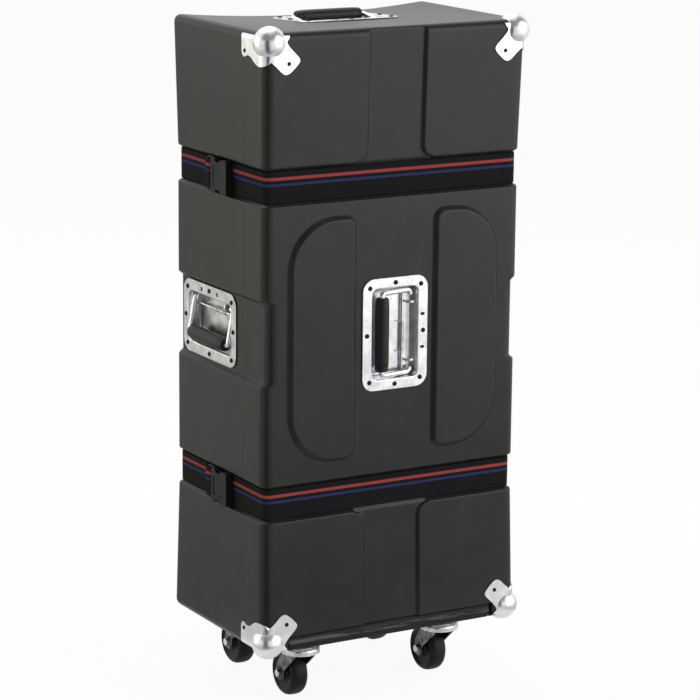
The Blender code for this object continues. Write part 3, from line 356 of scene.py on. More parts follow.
def linked(name, data):
    # a new object in the scene
    made = bpy.data.objects.new(name, data)
    bpy.context.scene.collection.objects.link(made)
    return made


def meshOf(name, bm):
    mesh = bpy.data.meshes.new(name)
    bm.to_mesh(mesh)
    return mesh


def shapeOf(obj):
    # an object's shape after its modifiers; the object is used up
    bpy.context.view_layer.update()
    mesh = bpy.data.meshes.new_from_object(obj.evaluated_get(bpy.context.evaluated_depsgraph_get()))
    bpy.data.objects.remove(obj)
    bm = bmesh.new()
    bm.from_mesh(mesh)
    bpy.data.meshes.remove(mesh)
    return bm


def newPiece(name, bm, look, body, replaces=(), sharp=32, outwards=True, weighted=False):
    if outwards:
        bmesh.ops.recalc_face_normals(bm, faces=bm.faces)
    for face in bm.faces:
        face.smooth = True
    for edge in bm.edges:
        edge.smooth = len(edge.link_faces) == 2 and edge.calc_face_angle(0) < math.radians(sharp)
    bmesh.ops.translate(bm, verts=bm.verts, vec=lift)
    mesh = meshOf(name, bm)
    for each in (look if isinstance(look, tuple) else (look,)):
        mesh.materials.append(looks[each])
    piece = linked(name, mesh)
    if weighted:
        modifier = piece.modifiers.new("normals", "WEIGHTED_NORMAL")
        modifier.keep_sharp = True
    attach(piece, body)
    if replaces:
        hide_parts(*replaces)


def stamp(bm, part, matrix=None, index=None):
    # adds a copy of part to bm
    mesh = meshOf("part", part)
    if matrix is not None:
        mesh.transform(matrix)
        if matrix.determinant() < 0:
            mesh.flip_normals()
    if index is not None:
        mesh.polygons.foreach_set("material_index", [index] * len(mesh.polygons))
    bm.from_mesh(mesh)
    bpy.data.meshes.remove(mesh)


def placedPiece(name, ending, part, matrix, look, body, weighted=True):
    # a copy of part that stands for the node of that name
    bm = bmesh.new()
    stamp(bm, part, matrix)
    newPiece(name + ending, bm, look, body, [name], outwards=False, weighted=weighted)


def evaluated(bm, kind, **settings):
    # bm as it comes out of a modifier
    obj = linked("work", meshOf("work", bm))
    modifier = obj.modifiers.new(kind, kind)
    for key, value in settings.items():
        setattr(modifier, key, value)
    return shapeOf(obj)


def thickened(bm, thickness, offset=-1.0):
    # gives a skin its wall, inwards unless offset is 0
    return evaluated(bm, "SOLIDIFY", thickness=thickness, offset=offset, use_even_offset=offset < 0)


def combined(bm, operation, other):
    tool = linked("tool", meshOf("tool", other))
    made = evaluated(bm, "BOOLEAN", operation=operation, solver="EXACT", object=tool)
    bpy.data.objects.remove(tool)
    return made


def without(bm, *tools):
    for tool in tools:
        bm = combined(bm, "DIFFERENCE", tool)
    return bm


def rounded(bm, edges, size, steps):
    bmesh.ops.bevel(bm, geom=edges, offset=size, offset_type="OFFSET", segments=steps, profile=0.5,
                    affect="EDGES", clamp_overlap=True, material=-1)


def sliced(bm, point, normal, **clear):
    bmesh.ops.bisect_plane(bm, geom=bm.verts[:] + bm.edges[:] + bm.faces[:], dist=1e-6,
                           plane_co=point, plane_no=normal, **clear)


def vertsOf(made):
    return [item for item in made if isinstance(item, bmesh.types.BMVert)]


def grown(bm, edges):
    # extrudes open edges, and gives the new verts and the new open edges
    made = bmesh.ops.extrude_edge_only(bm, edges=edges)["geom"]
    fresh = vertsOf(made)
    kept = set(fresh)
    return fresh, [item for item in made if isinstance(item, bmesh.types.BMEdge) and set(item.verts) <= kept]


def isUpright(edge, least=1e-7):
    return abs(edge.verts[0].co.z - edge.verts[1].co.z) > least


def box(low, high, edge=0.0, steps=2):
    low, high = Vector(low), Vector(high)
    bm = bmesh.new()
    bmesh.ops.create_cube(bm, size=1)
    bmesh.ops.scale(bm, vec=high - low, verts=bm.verts)
    bmesh.ops.translate(bm, vec=(low + high) / 2, verts=bm.verts)
    if edge:
        rounded(bm, bm.edges[:], edge, steps)
    return bm


def turned(line, steps, closed=False):
    # spins a line of (radius, height) round Z
    bm = bmesh.new()
    verts = [bm.verts.new((radius, 0, height)) for radius, height in line]
    edges = [bm.edges.new(pair) for pair in zip(verts, verts[1:])]
    if closed:
        edges.append(bm.edges.new((verts[-1], verts[0])))
    bmesh.ops.spin(bm, geom=verts + edges, cent=(0, 0, 0), axis=(0, 0, 1), angle=2 * math.pi,
                   steps=steps, use_merge=True, use_duplicate=False)
    bmesh.ops.remove_doubles(bm, verts=bm.verts, dist=0.000001)
    bmesh.ops.dissolve_degenerate(bm, edges=bm.edges, dist=0.000001)
    bmesh.ops.recalc_face_normals(bm, faces=bm.faces)
    return bm


def arc(x, y, radius, start, end, steps):
    turns = [math.radians(start + (end - start) * i / steps) for i in range(steps + 1)]
    return [(x + radius * math.cos(turn), y + radius * math.sin(turn)) for turn in turns]


def mirrored(line):
    # a line of (x, y) carried on with its own mirror image
    return line + [(x, -y) for x, y in reversed(line)]


def slab(outline, low, high, edge=0.0, steps=2):
    # an outline in XY made a plate from low to high, with its rims rounded
    bm = bmesh.new()
    face = bm.faces.new([bm.verts.new((x, y, low)) for x, y in outline])
    made = bmesh.ops.extrude_face_region(bm, geom=[face], use_keep_orig=True)["geom"]
    bmesh.ops.translate(bm, verts=vertsOf(made), vec=(0, 0, high - low))
    bmesh.ops.recalc_face_normals(bm, faces=bm.faces)
    if edge:
        rounded(bm, [e for e in bm.edges if not isUpright(e)], edge, steps)
    return bm


def hexagon(radius, low, high, edge):
    turns = [math.radians(60 * i) for i in range(6)]
    return slab([(radius * math.cos(turn), radius * math.sin(turn)) for turn in turns], low, high, edge)


def ringStack(loops, steps, startCap=False, endCap=False):
    # rounded rectangles of (half length, half width, corner, height), each grown from the last
    bm = bmesh.new()
    mark = bm.verts.layers.int.new("mark")
    count = steps + 1
    verts = bmesh.ops.create_circle(bm, cap_ends=False, segments=4 * count, radius=1)["verts"]
    for i, vert in enumerate(verts):
        vert[mark] = i
    edges = bm.edges[:]

    def settle(verts, loop):
        halfX, halfY, corner, height = loop
        for vert in verts:
            quarter, step = divmod(vert[mark], count)
            turn = math.radians(90 * (quarter + step / steps))
            x = (halfX - corner) * (1 if quarter in (0, 3) else -1) + corner * math.cos(turn)
            y = (halfY - corner) * (1 if quarter in (0, 1) else -1) + corner * math.sin(turn)
            vert.co = (x, y, height)

    settle(verts, loops[0])
    if startCap:
        bm.faces.new(verts)
    for loop in loops[1:]:
        verts, edges = grown(bm, edges)
        settle(verts, loop)
    if endCap:
        bmesh.ops.contextual_create(bm, geom=edges)
    bmesh.ops.recalc_face_normals(bm, faces=bm.faces)
    return bm


def rod(points, radius, steps):
    # a wire through the points, as a closed mesh
    curve = bpy.data.curves.new("rod", "CURVE")
    curve.dimensions = "3D"
    curve.bevel_depth = radius
    curve.bevel_resolution = steps // 2 - 1
    curve.use_fill_caps = True
    spline = curve.splines.new("POLY")
    spline.points.add(len(points) - 1)
    for point, place in zip(spline.points, points):
        point.co = (*place, 1)
    bm = shapeOf(linked("rod", curve))
    bpy.data.curves.remove(curve)
    bmesh.ops.remove_doubles(bm, verts=bm.verts, dist=0.000001)
    bmesh.ops.recalc_face_normals(bm, faces=bm.faces)
    return bm


def axes(place, along, across, outward):
    matrix = Matrix((along, across, outward)).transposed().to_4x4()
    matrix.translation = Vector(place)
    return matrix


facingFront = axes((0, 0, 0), (1, 0, 0), (0, 0, 1), (0, -1, 0))
facingSide = axes((0, 0, 0), (0, 1, 0), (0, 0, 1), (1, 0, 0))
ontoX = Matrix.Rotation(math.pi / 2, 4, "Y")       # lays what was turned round Z along X


# case shells

case = {"halfWidth": 0.185, "halfDepth": 0.125, "height": 0.772, "wall": 0.005, "corner": 0.013,
        "cornerSteps": 7, "edge": 0.010, "edgeSteps": 6, "leastRadius": 0.002,
        "flareX": 0.0024, "flareY": 0.0055, "sag": 0.0105,
        "seam": -0.067, "tongue": 0.010, "tongueRoot": 0.003,
        "straps": (0.191, 0.585), "channelHalf": 0.0195, "channelSlope": 0.004, "channelDepth": 0.006,
        "handleZ": 0.3925, "handleHalf": 0.0485, "handleSlope": 0.005,
        "bandHalf": 0.037, "bandDepth": 0.004, "bandFlare": 0.015, "softEdge": 0.0010, "softAngle": 24,
        "boardHalf": 0.1503, "boardTop": 0.0203,
        # the walls behind the handles lie beyond these
        "frontFrom": -0.11, "sideFrom": 0.17, "topFrom": 0.75,
        # more rows and columns of faces, for the flare and the sag
        "flareRows": (0.0025, 0.006, 0.0105, 0.015, 0.060, 0.110), "rows": (0.252, 0.285, 0.500, 0.530),
        "innerColumn": 0.018, "columns": (0.080, 0.102, 0.124, 0.145, 0.160), "sideColumn": -0.095}
lips = (case["straps"][0] - case["channelHalf"] - case["channelSlope"],
        case["straps"][1] + case["channelHalf"] + case["channelSlope"])
handleHole = (0.0590, 0.0340)     # half length and half width of the gap in the wall behind a handle
frontHandle = (0.001, 0.391)
sideHandle = (0.033, 0.3925)


def flareAt(z):
    low, high = lips
    return max((low - z) / low, (z - high) / (case["height"] - high), 0)


def sagAt(x, y):
    across = max(1 - (x / case["halfWidth"]) ** 2, 0)
    return case["sag"] * across * (y + case["halfDepth"]) / (2 * case["halfDepth"])


def caseRows(inset):
    # (height, recess of the sides, recess of front and back) from the bottom up
    radius = max(case["edge"] - inset, case["leastRadius"])
    turns = [math.radians(90 * i / case["edgeSteps"]) for i in range(case["edgeSteps"] + 1)]
    ends = [(inset + radius * (1 - math.cos(turn)), radius * (1 - math.sin(turn)), None) for turn in turns]
    depth = case["channelDepth"]
    channels = [(z, case["channelHalf"], case["channelSlope"], depth) for z in case["straps"]]
    channels.append((case["handleZ"], case["handleHalf"], case["handleSlope"], 0))
    rows = []
    for middle, half, slope, depthY in channels:
        half += inset / 2
        far = half + slope
        rows += [(middle - far, 0, 0), (middle - half, depth, depthY),
                 (middle + half, depth, depthY), (middle + far, 0, 0)]
    for step in case["flareRows"]:
        rows += [(lips[0] - step, 0, 0), (lips[1] + step, 0, 0)]
    long, short = handleHole
    rows += [(z, 0, 0) for z in (frontHandle[1] - long, frontHandle[1] + long, *case["rows"])]
    rows += [(z, depth, 0) for z in (sideHandle[1] - short, sideHandle[1] + short)]
    rows.sort()
    tops = [(case["height"] - z, recess, None) for z, recess, _ in reversed(ends)]
    return ends + rows + tops


def caseBody(inset=0.0, detail=True):
    # the closed body, inset all round
    halfW, halfD, corner = case["halfWidth"], case["halfDepth"], case["corner"]
    near = 1e-6
    bm = box((-halfW, -halfD, -0.5), (halfW, halfD, 0.5))
    rounded(bm, [e for e in bm.edges if isUpright(e, 0.5)], corner, case["cornerSteps"])
    below = [f for f in bm.faces if f.calc_center_median().z < 0.49]
    bmesh.ops.delete(bm, geom=below, context="FACES")
    band, bandTop = case["bandHalf"], case["bandHalf"] + case["bandDepth"]
    long, short = handleHole
    columns = [frontHandle[0] - short, frontHandle[0] + short, 0]
    for x in (case["innerColumn"], band, bandTop, long, *case["columns"]):
        columns += [-x, x]
    sides = [sideHandle[0] + shift for shift in (-long, -short, 0, short, long)]
    for x in columns:
        sliced(bm, (x, 0, 0), (1, 0, 0))
    for y in sides + [case["sideColumn"]]:
        sliced(bm, (0, y, 0), (0, 1, 0))
    startX = bm.verts.layers.float.new("startX")
    startY = bm.verts.layers.float.new("startY")
    for vert in bm.verts:
        vert[startX], vert[startY] = vert.co.x, vert.co.y
    bottom = bm.verts[:]
    top = vertsOf(bmesh.ops.duplicate(bm, geom=bm.verts[:] + bm.edges[:] + bm.faces[:])["geom"])
    lowVerts = set(bottom)
    ring = [e for e in bm.edges if len(e.link_faces) == 1 and e.verts[0] in lowVerts]

    def settle(verts, row):
        z, recessX, recessY = row
        recess = recessX if recessY is None else recessY
        radius = max(corner - inset - recess, case["leastRadius"])
        flare = flareAt(z)
        fullY = halfD - case["flareY"] * (1 - flare) - inset
        hx = halfW - case["flareX"] * (1 - flare) - inset - recessX
        hy = fullY - recess
        away = max(z - lips[1], lips[0] - z)      # how far beyond a strap's channel
        bandLeft = case["bandFlare"] - min(max(away, 0), case["bandFlare"])
        flareOut = case["bandFlare"] - math.sqrt(case["bandFlare"] ** 2 - bandLeft ** 2)
        for vert in verts:
            x0, y0 = vert[startX], vert[startY]
            signX, signY = math.copysign(1, x0), math.copysign(1, y0)
            x, y = x0, y0
            acrossX, acrossY = abs(x0) - (halfW - corner), abs(y0) - (halfD - corner)
            if acrossX > -near and acrossY > -near:
                x = signX * (hx - radius + radius * acrossX / corner)
                y = signY * (hy - radius + radius * acrossY / corner)
            elif acrossY > corner - near:
                y = signY * hy
                if detail and signY < 0 and away > -case["channelSlope"] - near and abs(x0) < bandTop + near:
                    if abs(x0) > band - near:
                        x = x0 + signX * flareOut
                    if abs(x0) < band + near:
                        y = -min(hy, fullY - case["bandDepth"])
            elif acrossX > corner - near:
                x = signX * hx
            low = sagAt(x, y) if z > case["height"] - case["edge"] - case["leastRadius"] else 0
            vert.co = (x, y, z - low)

    rows = caseRows(inset)
    settle(bottom, rows[0])
    for row in rows[1:]:
        verts, ring = grown(bm, ring)
        settle(verts, row)
    settle(top, rows[-1])
    bmesh.ops.remove_doubles(bm, verts=bm.verts, dist=0.00001)
    bmesh.ops.recalc_face_normals(bm, faces=bm.faces)
    if detail:
        least = math.radians(case["softAngle"])
        crisp = [e for e in bm.edges if len(e.link_faces) == 2 and e.calc_face_angle(0) > least]
        rounded(bm, crisp, case["softEdge"], 2)
    return bm


def dropFaces(bm, test):
    gone = [f for f in bm.faces if test(f.calc_center_median())]
    bmesh.ops.delete(bm, geom=gone, context="FACES")


def keepSide(bm, y, front):
    sliced(bm, (0, y, 0), (0, 1, 0), clear_outer=front, clear_inner=not front)


def boardRoom(more=0.0):
    # what the caster board takes out of the bottom
    half = case["boardHalf"] + more
    return box((-half, -0.2, -0.1), (half, 0.2, case["boardTop"] + more))


def makeShells():
    wide, high = handleHole
    seam, tongueEnd = case["seam"], case["seam"] - case["tongue"]
    step = case["wall"] / 2         # the rims of lid and base lap, each half as thick as the wall
    body = without(caseBody(), boardRoom())
    lid = body.copy()
    keepSide(lid, seam - gap, True)
    x, z = frontHandle
    dropFaces(lid, lambda c: c.y < case["frontFrom"] and abs(c.x - x) < high and abs(c.z - z) < wide)
    lidRim = lid.copy()
    keepSide(lidRim, tongueEnd - gap, False)
    keepSide(lid, tongueEnd - gap, True)
    lid = thickened(lid, case["wall"])
    stamp(lid, thickened(lidRim, step))
    newPiece("lid_shell_moulding", lid, "shell", "lid", ["lid_shell"], weighted=True)

    keepSide(body, seam, False)
    y, z = sideHandle
    dropFaces(body, lambda c: abs(c.x) > case["sideFrom"] and abs(c.y - y) < wide and abs(c.z - z) < high)
    dropFaces(body, lambda c: c.z > case["topFrom"] and abs(c.x) < wide and abs(c.y - y) < high)
    base = thickened(body, case["wall"])
    rim = without(caseBody(step + gap, False), boardRoom(step))
    keepSide(rim, tongueEnd, False)
    keepSide(rim, seam + case["tongueRoot"], True)
    stamp(base, thickened(rim, step - gap))
    newPiece("base_shell_moulding", base, "shell", "case", ["base_shell"], weighted=True)


makeShells()
print("shells made")

pads = {"inner": 0.060, "width": 0.085, "length": 0.297, "height": 0.0055, "round": 0.060, "roundSteps": 14,
        "smallRound": 0.010, "smallSteps": 6, "root": 0.002, "soft": 0.0014, "softSteps": 3, "softAngle": 30}


def makePads():
    # the two raised pads beside the front handle
    face = case["halfDepth"] - case["flareY"]
    grow = pads["height"]
    low, high = pads["inner"] - grow, pads["inner"] + pads["width"] + grow
    half = pads["length"] / 2 + grow
    bm = bmesh.new()
    for side in (-1, 1):
        part = box((low, -half, -pads["root"]), (high, half, grow))
        upright = [e for e in part.edges if isUpright(e, grow)]
        outer = [e for e in upright if e.verts[0].co.x > (low + high) / 2]
        inner = [e for e in upright if e not in outer]
        rounded(part, outer, pads["round"] + grow, pads["roundSteps"])
        rounded(part, [e for e in inner if e.is_valid], pads["smallRound"] + grow, pads["smallSteps"])
        rim = [e for e in part.edges if min(v.co.z for v in e.verts) > grow - 1e-6]
        rounded(part, rim, grow * 0.98, 1)
        crisp = [e for e in part.edges if e.calc_face_angle(0) > math.radians(pads["softAngle"])
                 and max(v.co.z for v in e.verts) > 0]
        rounded(part, crisp, pads["soft"], pads["softSteps"])
        stamp(bm, part, axes((0, -face, frontHandle[1]), (side, 0, 0), (0, 0, 1), (0, -1, 0)))
    newPiece("lid_front_pads", bm, "shell", "lid", weighted=True)


makePads()
print("pads made")


# handles: each is drawn with X along, its grip towards -Y and Z out of the case

handle = {"length": 0.142, "height": 0.094, "sheet": 0.0015, "corner": 0.016, "edge": 0.008,
          # (inwards, off the corner, down)
          "rim": ((0, 0, 0.0010), (0.0002, 0, 0.0004), (0.0008, 0.0006, 0)),
          "dishLength": 0.114, "dishHeight": 0.064, "dishDepth": 0.013, "taper": 0.003, "dishCorner": 0.007,
          "lip": 0.0022, "lipSteps": 5,
          "fillet": 0.0030, "filletSteps": 5, "filletOut": 0.0006,
          "wire": 0.007, "halfSpan": 0.052, "bend": 0.005, "hingeY": 0.025, "sink": 0.006, "endX": 0.046,
          "pin": 0.0017, "pinHalf": 0.0535, "pinY": 0.016, "pinDepth": 0.0097,
          "springStart": -0.012, "springWire": 0.0011, "springRoom": 0.0002, "springFoot": 0.006,
          "turns": 18, "turnSteps": 16, "pitch": 0.0021,
          "grip": 0.018, "gripLength": 0.093, "gripY": -0.0195, "gripRise": 0.0005,
          # (share of the radius, in from the end)
          "gripLine": ((0.72, 0), (0.84, 0.0006), (0.92, 0.002), (0.955, 0.0045), (0.93, 0.0052),
                       (0.93, 0.0062), (0.97, 0.0068), (0.99, 0.012), (1, 0.022)),
          "earX": 0.037, "ear": 0.003, "earWidth": 0.012, "earFoot": 0.0005, "earRound": 0.0005,
          "rivets": ((0.0595, 0.0365), (0.0642, 0.0), (0.0, 0.0403)),
          "rivetHead": 0.0031, "rivetHeight": 0.0014,
          "stake": (0.0021, 0.0004), "stakes": (-0.021, 0.021), "stakeIn": 0.001, "stakeStretch": 1.5}


def handlePlaces():
    face = case["halfDepth"] - case["flareY"]
    floor = case["halfWidth"] - case["flareX"] - case["channelDepth"]
    y, z = sideHandle
    slope = math.atan(case["sag"] / (2 * case["halfDepth"]))
    seat = case["height"] - sagAt(handle["length"] / 2, y) - handle["sheet"] / 2
    return {
        "front": axes((frontHandle[0], -face - gap, frontHandle[1]), (0, 0, -1), (1, 0, 0), (0, -1, 0)),
        "left": axes((-floor - gap, y, z), (0, -1, 0), (0, 0, 1), (-1, 0, 0)),
        "right": axes((floor + gap, y, z), (0, 1, 0), (0, 0, 1), (1, 0, 0)),
        "top": axes((0, y, seat), (-1, 0, 0), (0, -math.cos(slope), math.sin(slope)),
                    (0, math.sin(slope), math.cos(slope))),
    }


def rivetHead(radius, height):
    line = [(0, 0.45), (0.30, 0.42), (0.40, 0.80), (0.52, 1), (0.74, 0.88), (0.92, 0.50), (1, 0.05)]
    return turned([(radius * across, height * up) for across, up in line] + [(radius, -gap), (0, -gap)], 20)


def handlePlate():
    h = handle
    sheet = h["sheet"]
    lip = h["lip"]
    halfX, halfY = h["length"] / 2, h["height"] / 2
    dishX, dishY = h["dishLength"] / 2, h["dishHeight"] / 2
    loops = [(halfX - inward, halfY - inward, h["corner"] - less, sheet - down)
             for inward, less, down in h["rim"]]
    for across, down in arc(lip, 0, lip, 90, 0, h["lipSteps"]):
        grow = lip - (across - lip)
        loops.append((dishX + grow, dishY + grow, h["dishCorner"] + grow, sheet - lip + down))
    floorX, floorY = dishX - h["taper"] + h["filletOut"], dishY - h["taper"] + h["filletOut"]
    for i in range(h["filletSteps"] + 1):
        turn = math.radians(90 * i / h["filletSteps"])
        inward = h["fillet"] * (1 - math.cos(turn))
        loops.append((floorX - inward, floorY - inward, h["dishCorner"] - h["taper"] / 2,
                      -h["dishDepth"] + h["fillet"] * (1 - math.sin(turn))))
    skin = ringStack(loops, 7, endCap=True)
    floor = max(skin.faces, key=lambda face: len(face.verts))
    if floor.normal.z < 0:
        bmesh.ops.reverse_faces(skin, faces=skin.faces[:])
    bm = thickened(skin, sheet * 0.9)
    wide = h["earWidth"] / 2
    foot = -h["dishDepth"] - h["earFoot"]
    outline = [(h["hingeY"] - wide, foot), (h["hingeY"] + wide, foot)]
    outline += arc(h["hingeY"], -h["sink"], wide, 0, 180, 12)
    ear = slab(outline, -h["ear"] / 2, h["ear"] / 2, h["earRound"])
    for x in (-h["earX"], h["earX"]):
        stamp(bm, ear, Matrix.Translation((x, 0, 0)) @ facingSide)
    rimX, rimY = halfX - h["edge"], halfY - h["edge"]
    for face in bm.faces:      # painted shade: the sheet's cut edge gets the dark rivet material, a dark outline standing in for the shadow round the plate
        x, y, z = face.calc_center_median()
        if abs(face.normal.z) < 0.6 and z > 0 and (abs(x) > rimX or abs(y) > rimY):
            face.material_index = 1
    head = rivetHead(h["rivetHead"], h["rivetHeight"])
    for x, y in h["rivets"]:
        for signX in ((1, -1) if x else (1,)):
            for signY in ((1, -1) if y else (1,)):
                stamp(bm, head, Matrix.Translation((signX * x, signY * y, sheet)), 1)
    mark = rivetHead(*h["stake"])
    stretch = Matrix.Scale(h["stakeStretch"], 4, (0, 1, 0))
    for x in h["stakes"]:
        stamp(bm, mark, Matrix.Translation((x, h["rivets"][2][1] - h["stakeIn"], sheet)) @ stretch, 1)
    return bm


def handleBail():
    h = handle
    length = math.hypot(h["hingeY"] - h["gripY"], h["sink"] + h["gripRise"] + h["sheet"])
    span, bend = h["halfSpan"], h["bend"]
    corner = arc(span - bend, -bend, bend, 90, 0, 8)
    foot = arc(span - bend, -length + bend, bend, 0, -90, 8)
    line = [(h["endX"], 0)] + corner + foot
    path = line + [(-x, y) for x, y in reversed(line)]
    return rod([(x, y, 0) for x, y in path], h["wire"] / 2, 12), length


def handleGrip(length):
    h = handle
    radius, half = h["grip"] / 2, h["gripLength"] / 2
    line = [(h["wire"] / 2 + gap, half)]
    line += [(radius * share, half - inward) for share, inward in h["gripLine"]]
    bm = turned(mirrored(line), 32, closed=True)
    bmesh.ops.transform(bm, matrix=Matrix.Translation((0, -length, 0)) @ ontoX, verts=bm.verts)
    return bm


def handleSpring():
    # a pin across the dish with the spring wound on it; its ends bear on the dish's floor
    h = handle
    y, z = h["pinY"], -h["pinDepth"]
    radius = h["pin"] + h["springRoom"] + h["springWire"] / 2
    steps = h["turnSteps"]
    points = []
    for i in range(h["turns"] * steps + 1):
        turn = math.pi + 2 * math.pi * i / steps
        x = h["springStart"] + h["pitch"] * i / steps
        points.append((x, y + radius * math.cos(turn), z + radius * math.sin(turn)))
    foot = h["springWire"] / 2 - h["dishDepth"] + gap
    footY = y - radius - h["springFoot"]
    points = [(points[0][0], footY, foot)] + points + [(points[-1][0], footY, foot)]
    bm = rod(points, h["springWire"] / 2, 6)
    half = h["pinHalf"]
    pin = turned([(0, -half), (h["pin"], -half), (h["pin"], half), (0, half)], 16)
    stamp(bm, pin, Matrix.Translation((0, y, z)) @ ontoX)
    return bm


def makeHandles():
    h = handle
    plate = handlePlate()
    bail, length = handleBail()
    grip = handleGrip(length)
    spring = handleSpring()
    lean = math.atan2(h["sink"] + h["gripRise"] + h["sheet"], h["hingeY"] - h["gripY"])
    hinge = Matrix.Translation((0, h["hingeY"], -h["sink"]))
    folded = hinge @ Matrix.Rotation(-lean, 4, "X")
    for side, place in handlePlaces().items():
        home = "lid" if side == "front" else "case"
        for kind, part, matrix, look, body, slot in (
                ("plate", plate, place, ("zinc", "rivet"), home, "zinc"),
                ("bail", bail, place @ folded, "polished", side + "_bail", "zinc"),
                ("grip", grip, place @ folded, "grip", side + "_bail", "grip"),
                ("spring", spring, place, "polished", home, "zinc")):
            placedPiece(side + "_handle_" + kind, "_detail", part, matrix, look, body, kind == "plate")


makeHandles()
print("handles made")


# ball corners

cornerPiece = {
    "ball": 0.020, "inset": 0.013, "sheet": 0.0012, "mask": 0.024, "leafHole": (0.0325, 0.0375),
    "flangeHole": (0.0495, 0.0250), "hole": 0.0027, "holeHeight": 0.00098,
    # (across the front from the corner, away from the end)
    "leaf": [(0.000, 0.0035), (0.0335, 0.0035), (0.0325, 0.0065), (0.0300, 0.0095), (0.0290, 0.0120),
             (0.0325, 0.0170), (0.0380, 0.0230), (0.0440, 0.0285), (0.0466, 0.0318), (0.0474, 0.0345),
             (0.0460, 0.0375), (0.0415, 0.0425), (0.0360, 0.0475), (0.0325, 0.0498), (0.0290, 0.0506),
             (0.0258, 0.0498), (0.0225, 0.0475), (0.0170, 0.0420), (0.0110, 0.0370), (0.0070, 0.0335),
             (0.0040, 0.0300), (0.000, 0.0270)],
    # (back along the side from the corner, away from the end)
    "flange": [(-0.0100, 0.0045), (0.0575, 0.0045), (0.0570, 0.0160), (0.0572, 0.0255), (0.0560, 0.0300),
               (0.0530, 0.0323), (0.0490, 0.0325), (0.0460, 0.0310), (0.0420, 0.0300), (0.0370, 0.0304),
               (0.0320, 0.0325), (0.0270, 0.0360), (0.0210, 0.0392), (0.0150, 0.0407), (0.0090, 0.0407),
               (0.0045, 0.0392), (0.0020, 0.0362), (0.0006, 0.0325), (-0.0100, 0.0300)]}


def makeCorners():
    # the case's own skin cut out along the outlines, with the ball joined on
    c = cornerPiece
    out = gap + c["sheet"]
    skin = caseBody(-out, False)
    seat = caseBody(-gap, False)
    head = rivetHead(c["hole"], c["holeHeight"])
    for end, top in (("top", True), ("bottom", False)):
        for hand, side in (("left", -1), ("right", 1)):
            place = (side * case["halfWidth"], -case["halfDepth"], case["height"] if top else 0)
            at = axes(place, (-side, 0, 0), (0, 1, 0), (0, 0, -1 if top else 1))
            masks = []
            for outline, turn in ((c["leaf"], facingFront), (c["flange"], facingSide)):
                mask = slab(outline, -c["mask"] / 2, c["mask"] / 2)
                bmesh.ops.transform(mask, matrix=at @ turn, verts=mask.verts)
                bmesh.ops.recalc_face_normals(mask, faces=mask.faces)
                masks.append(mask)
            sheet = combined(skin, "INTERSECT", combined(masks[0], "UNION", masks[1]))
            ball = bmesh.new()
            bmesh.ops.create_uvsphere(ball, u_segments=48, v_segments=32, radius=c["ball"])
            bmesh.ops.translate(ball, vec=at @ Vector((c["inset"],) * 3), verts=ball.verts)
            bm = without(combined(sheet, "UNION", ball), seat)
            x, away = c["leafHole"]
            z = case["height"] - away if top else away
            face = case["halfDepth"] - case["flareY"] * (1 - flareAt(z)) + out
            stamp(bm, head, Matrix.Translation((side * (case["halfWidth"] - x), -face, z)) @ facingFront, 1)
            y, away = c["flangeHole"]
            z = case["height"] - away if top else away
            face = case["halfWidth"] - case["flareX"] * (1 - flareAt(z)) + out
            spot = (side * face, y - case["halfDepth"], z)
            stamp(bm, head, axes(spot, (0, side, 0), (0, 0, 1), (side, 0, 0)), 1)
            name = "_".join((end, hand, "ball_corner"))
            newPiece(name + "_pressing", bm, ("polished", "rivet"), "lid", [name],
                     outwards=False, weighted=True)


makeCorners()
print("ball corners made")


# straps and buckles

strap = {"width": 0.038, "thickness": 0.002, "endY": 0.095, "buckleY": -0.033, "tuck": 0.010,
         "rearRoom": 0.005, "steps": 220, "stepsAcross": 10, "crown": 0.0003,
         "waves": (14, 30, 9), "runWave": 0.00016, "turnWave": 0.0001,
         "runThickness": 0.0016, "turnThickness": 0.0014,
         "rearStart": 0.7, "turnStart": 0.3,                  # where the weave starts, in metres
         # the turn over the buckle's bar; its end as (inwards, back from the bar)
         "turnFrom": 0.034, "turnFoot": 0.030, "turnRun": 0.0105, "turnSteps": 8,
         "turnEnd": ((0, 0.013), (0.0004, 0.0110), (0.0014, 0.0095), (0.0045, 0.0078))}
buckle = {"length": 0.041, "height": 0.043, "thickness": 0.0125, "wall": 0.0025, "corner": 0.003,
          # the thumb's hollow, as (forward from the rear end, in from the side)
          "hollow": ((0.0085, 0), (0.0105, 0.001), (0.0125, 0.0035), (0.0145, 0.0045), (0.0215, 0.0045),
                     (0.0235, 0.0035), (0.0255, 0.001), (0.0275, 0)),
          "frontCorner": 0.0045, "nose": 0.0055, "soft": 0.0014, "floor": 0.001,
          "cavityHeight": 0.0366, "cavityLength": 0.030, "throat": 0.0193,
          "panel": (0.011, 0.008), "panelHalf": 0.0105, "panelRound": 0.002, "panelDepth": 0.0006,
          "ladder": 0.0195, "ladderThickness": 0.0070, "ladderCorner": 0.004, "ladderEnd": 0.004,
          "slot": 0.0035, "slotHalf": 0.019, "slots": (0.005, 0.0115), "slotFloor": 0.001,
          "guide": (0.022, 0.0025), "guideHalf": (0.0035, 0.002), "guideRound": 0.0006,
          "prongLength": 0.027, "prong": 0.006, "prongRound": 0.0006, "arm": 0.003, "innerZ": 0.010,
          "outerZ": 0.0178}
channelX = case["halfWidth"] - case["flareX"] - case["channelDepth"]
channelY = case["halfDepth"] - case["flareY"] - case["channelDepth"]


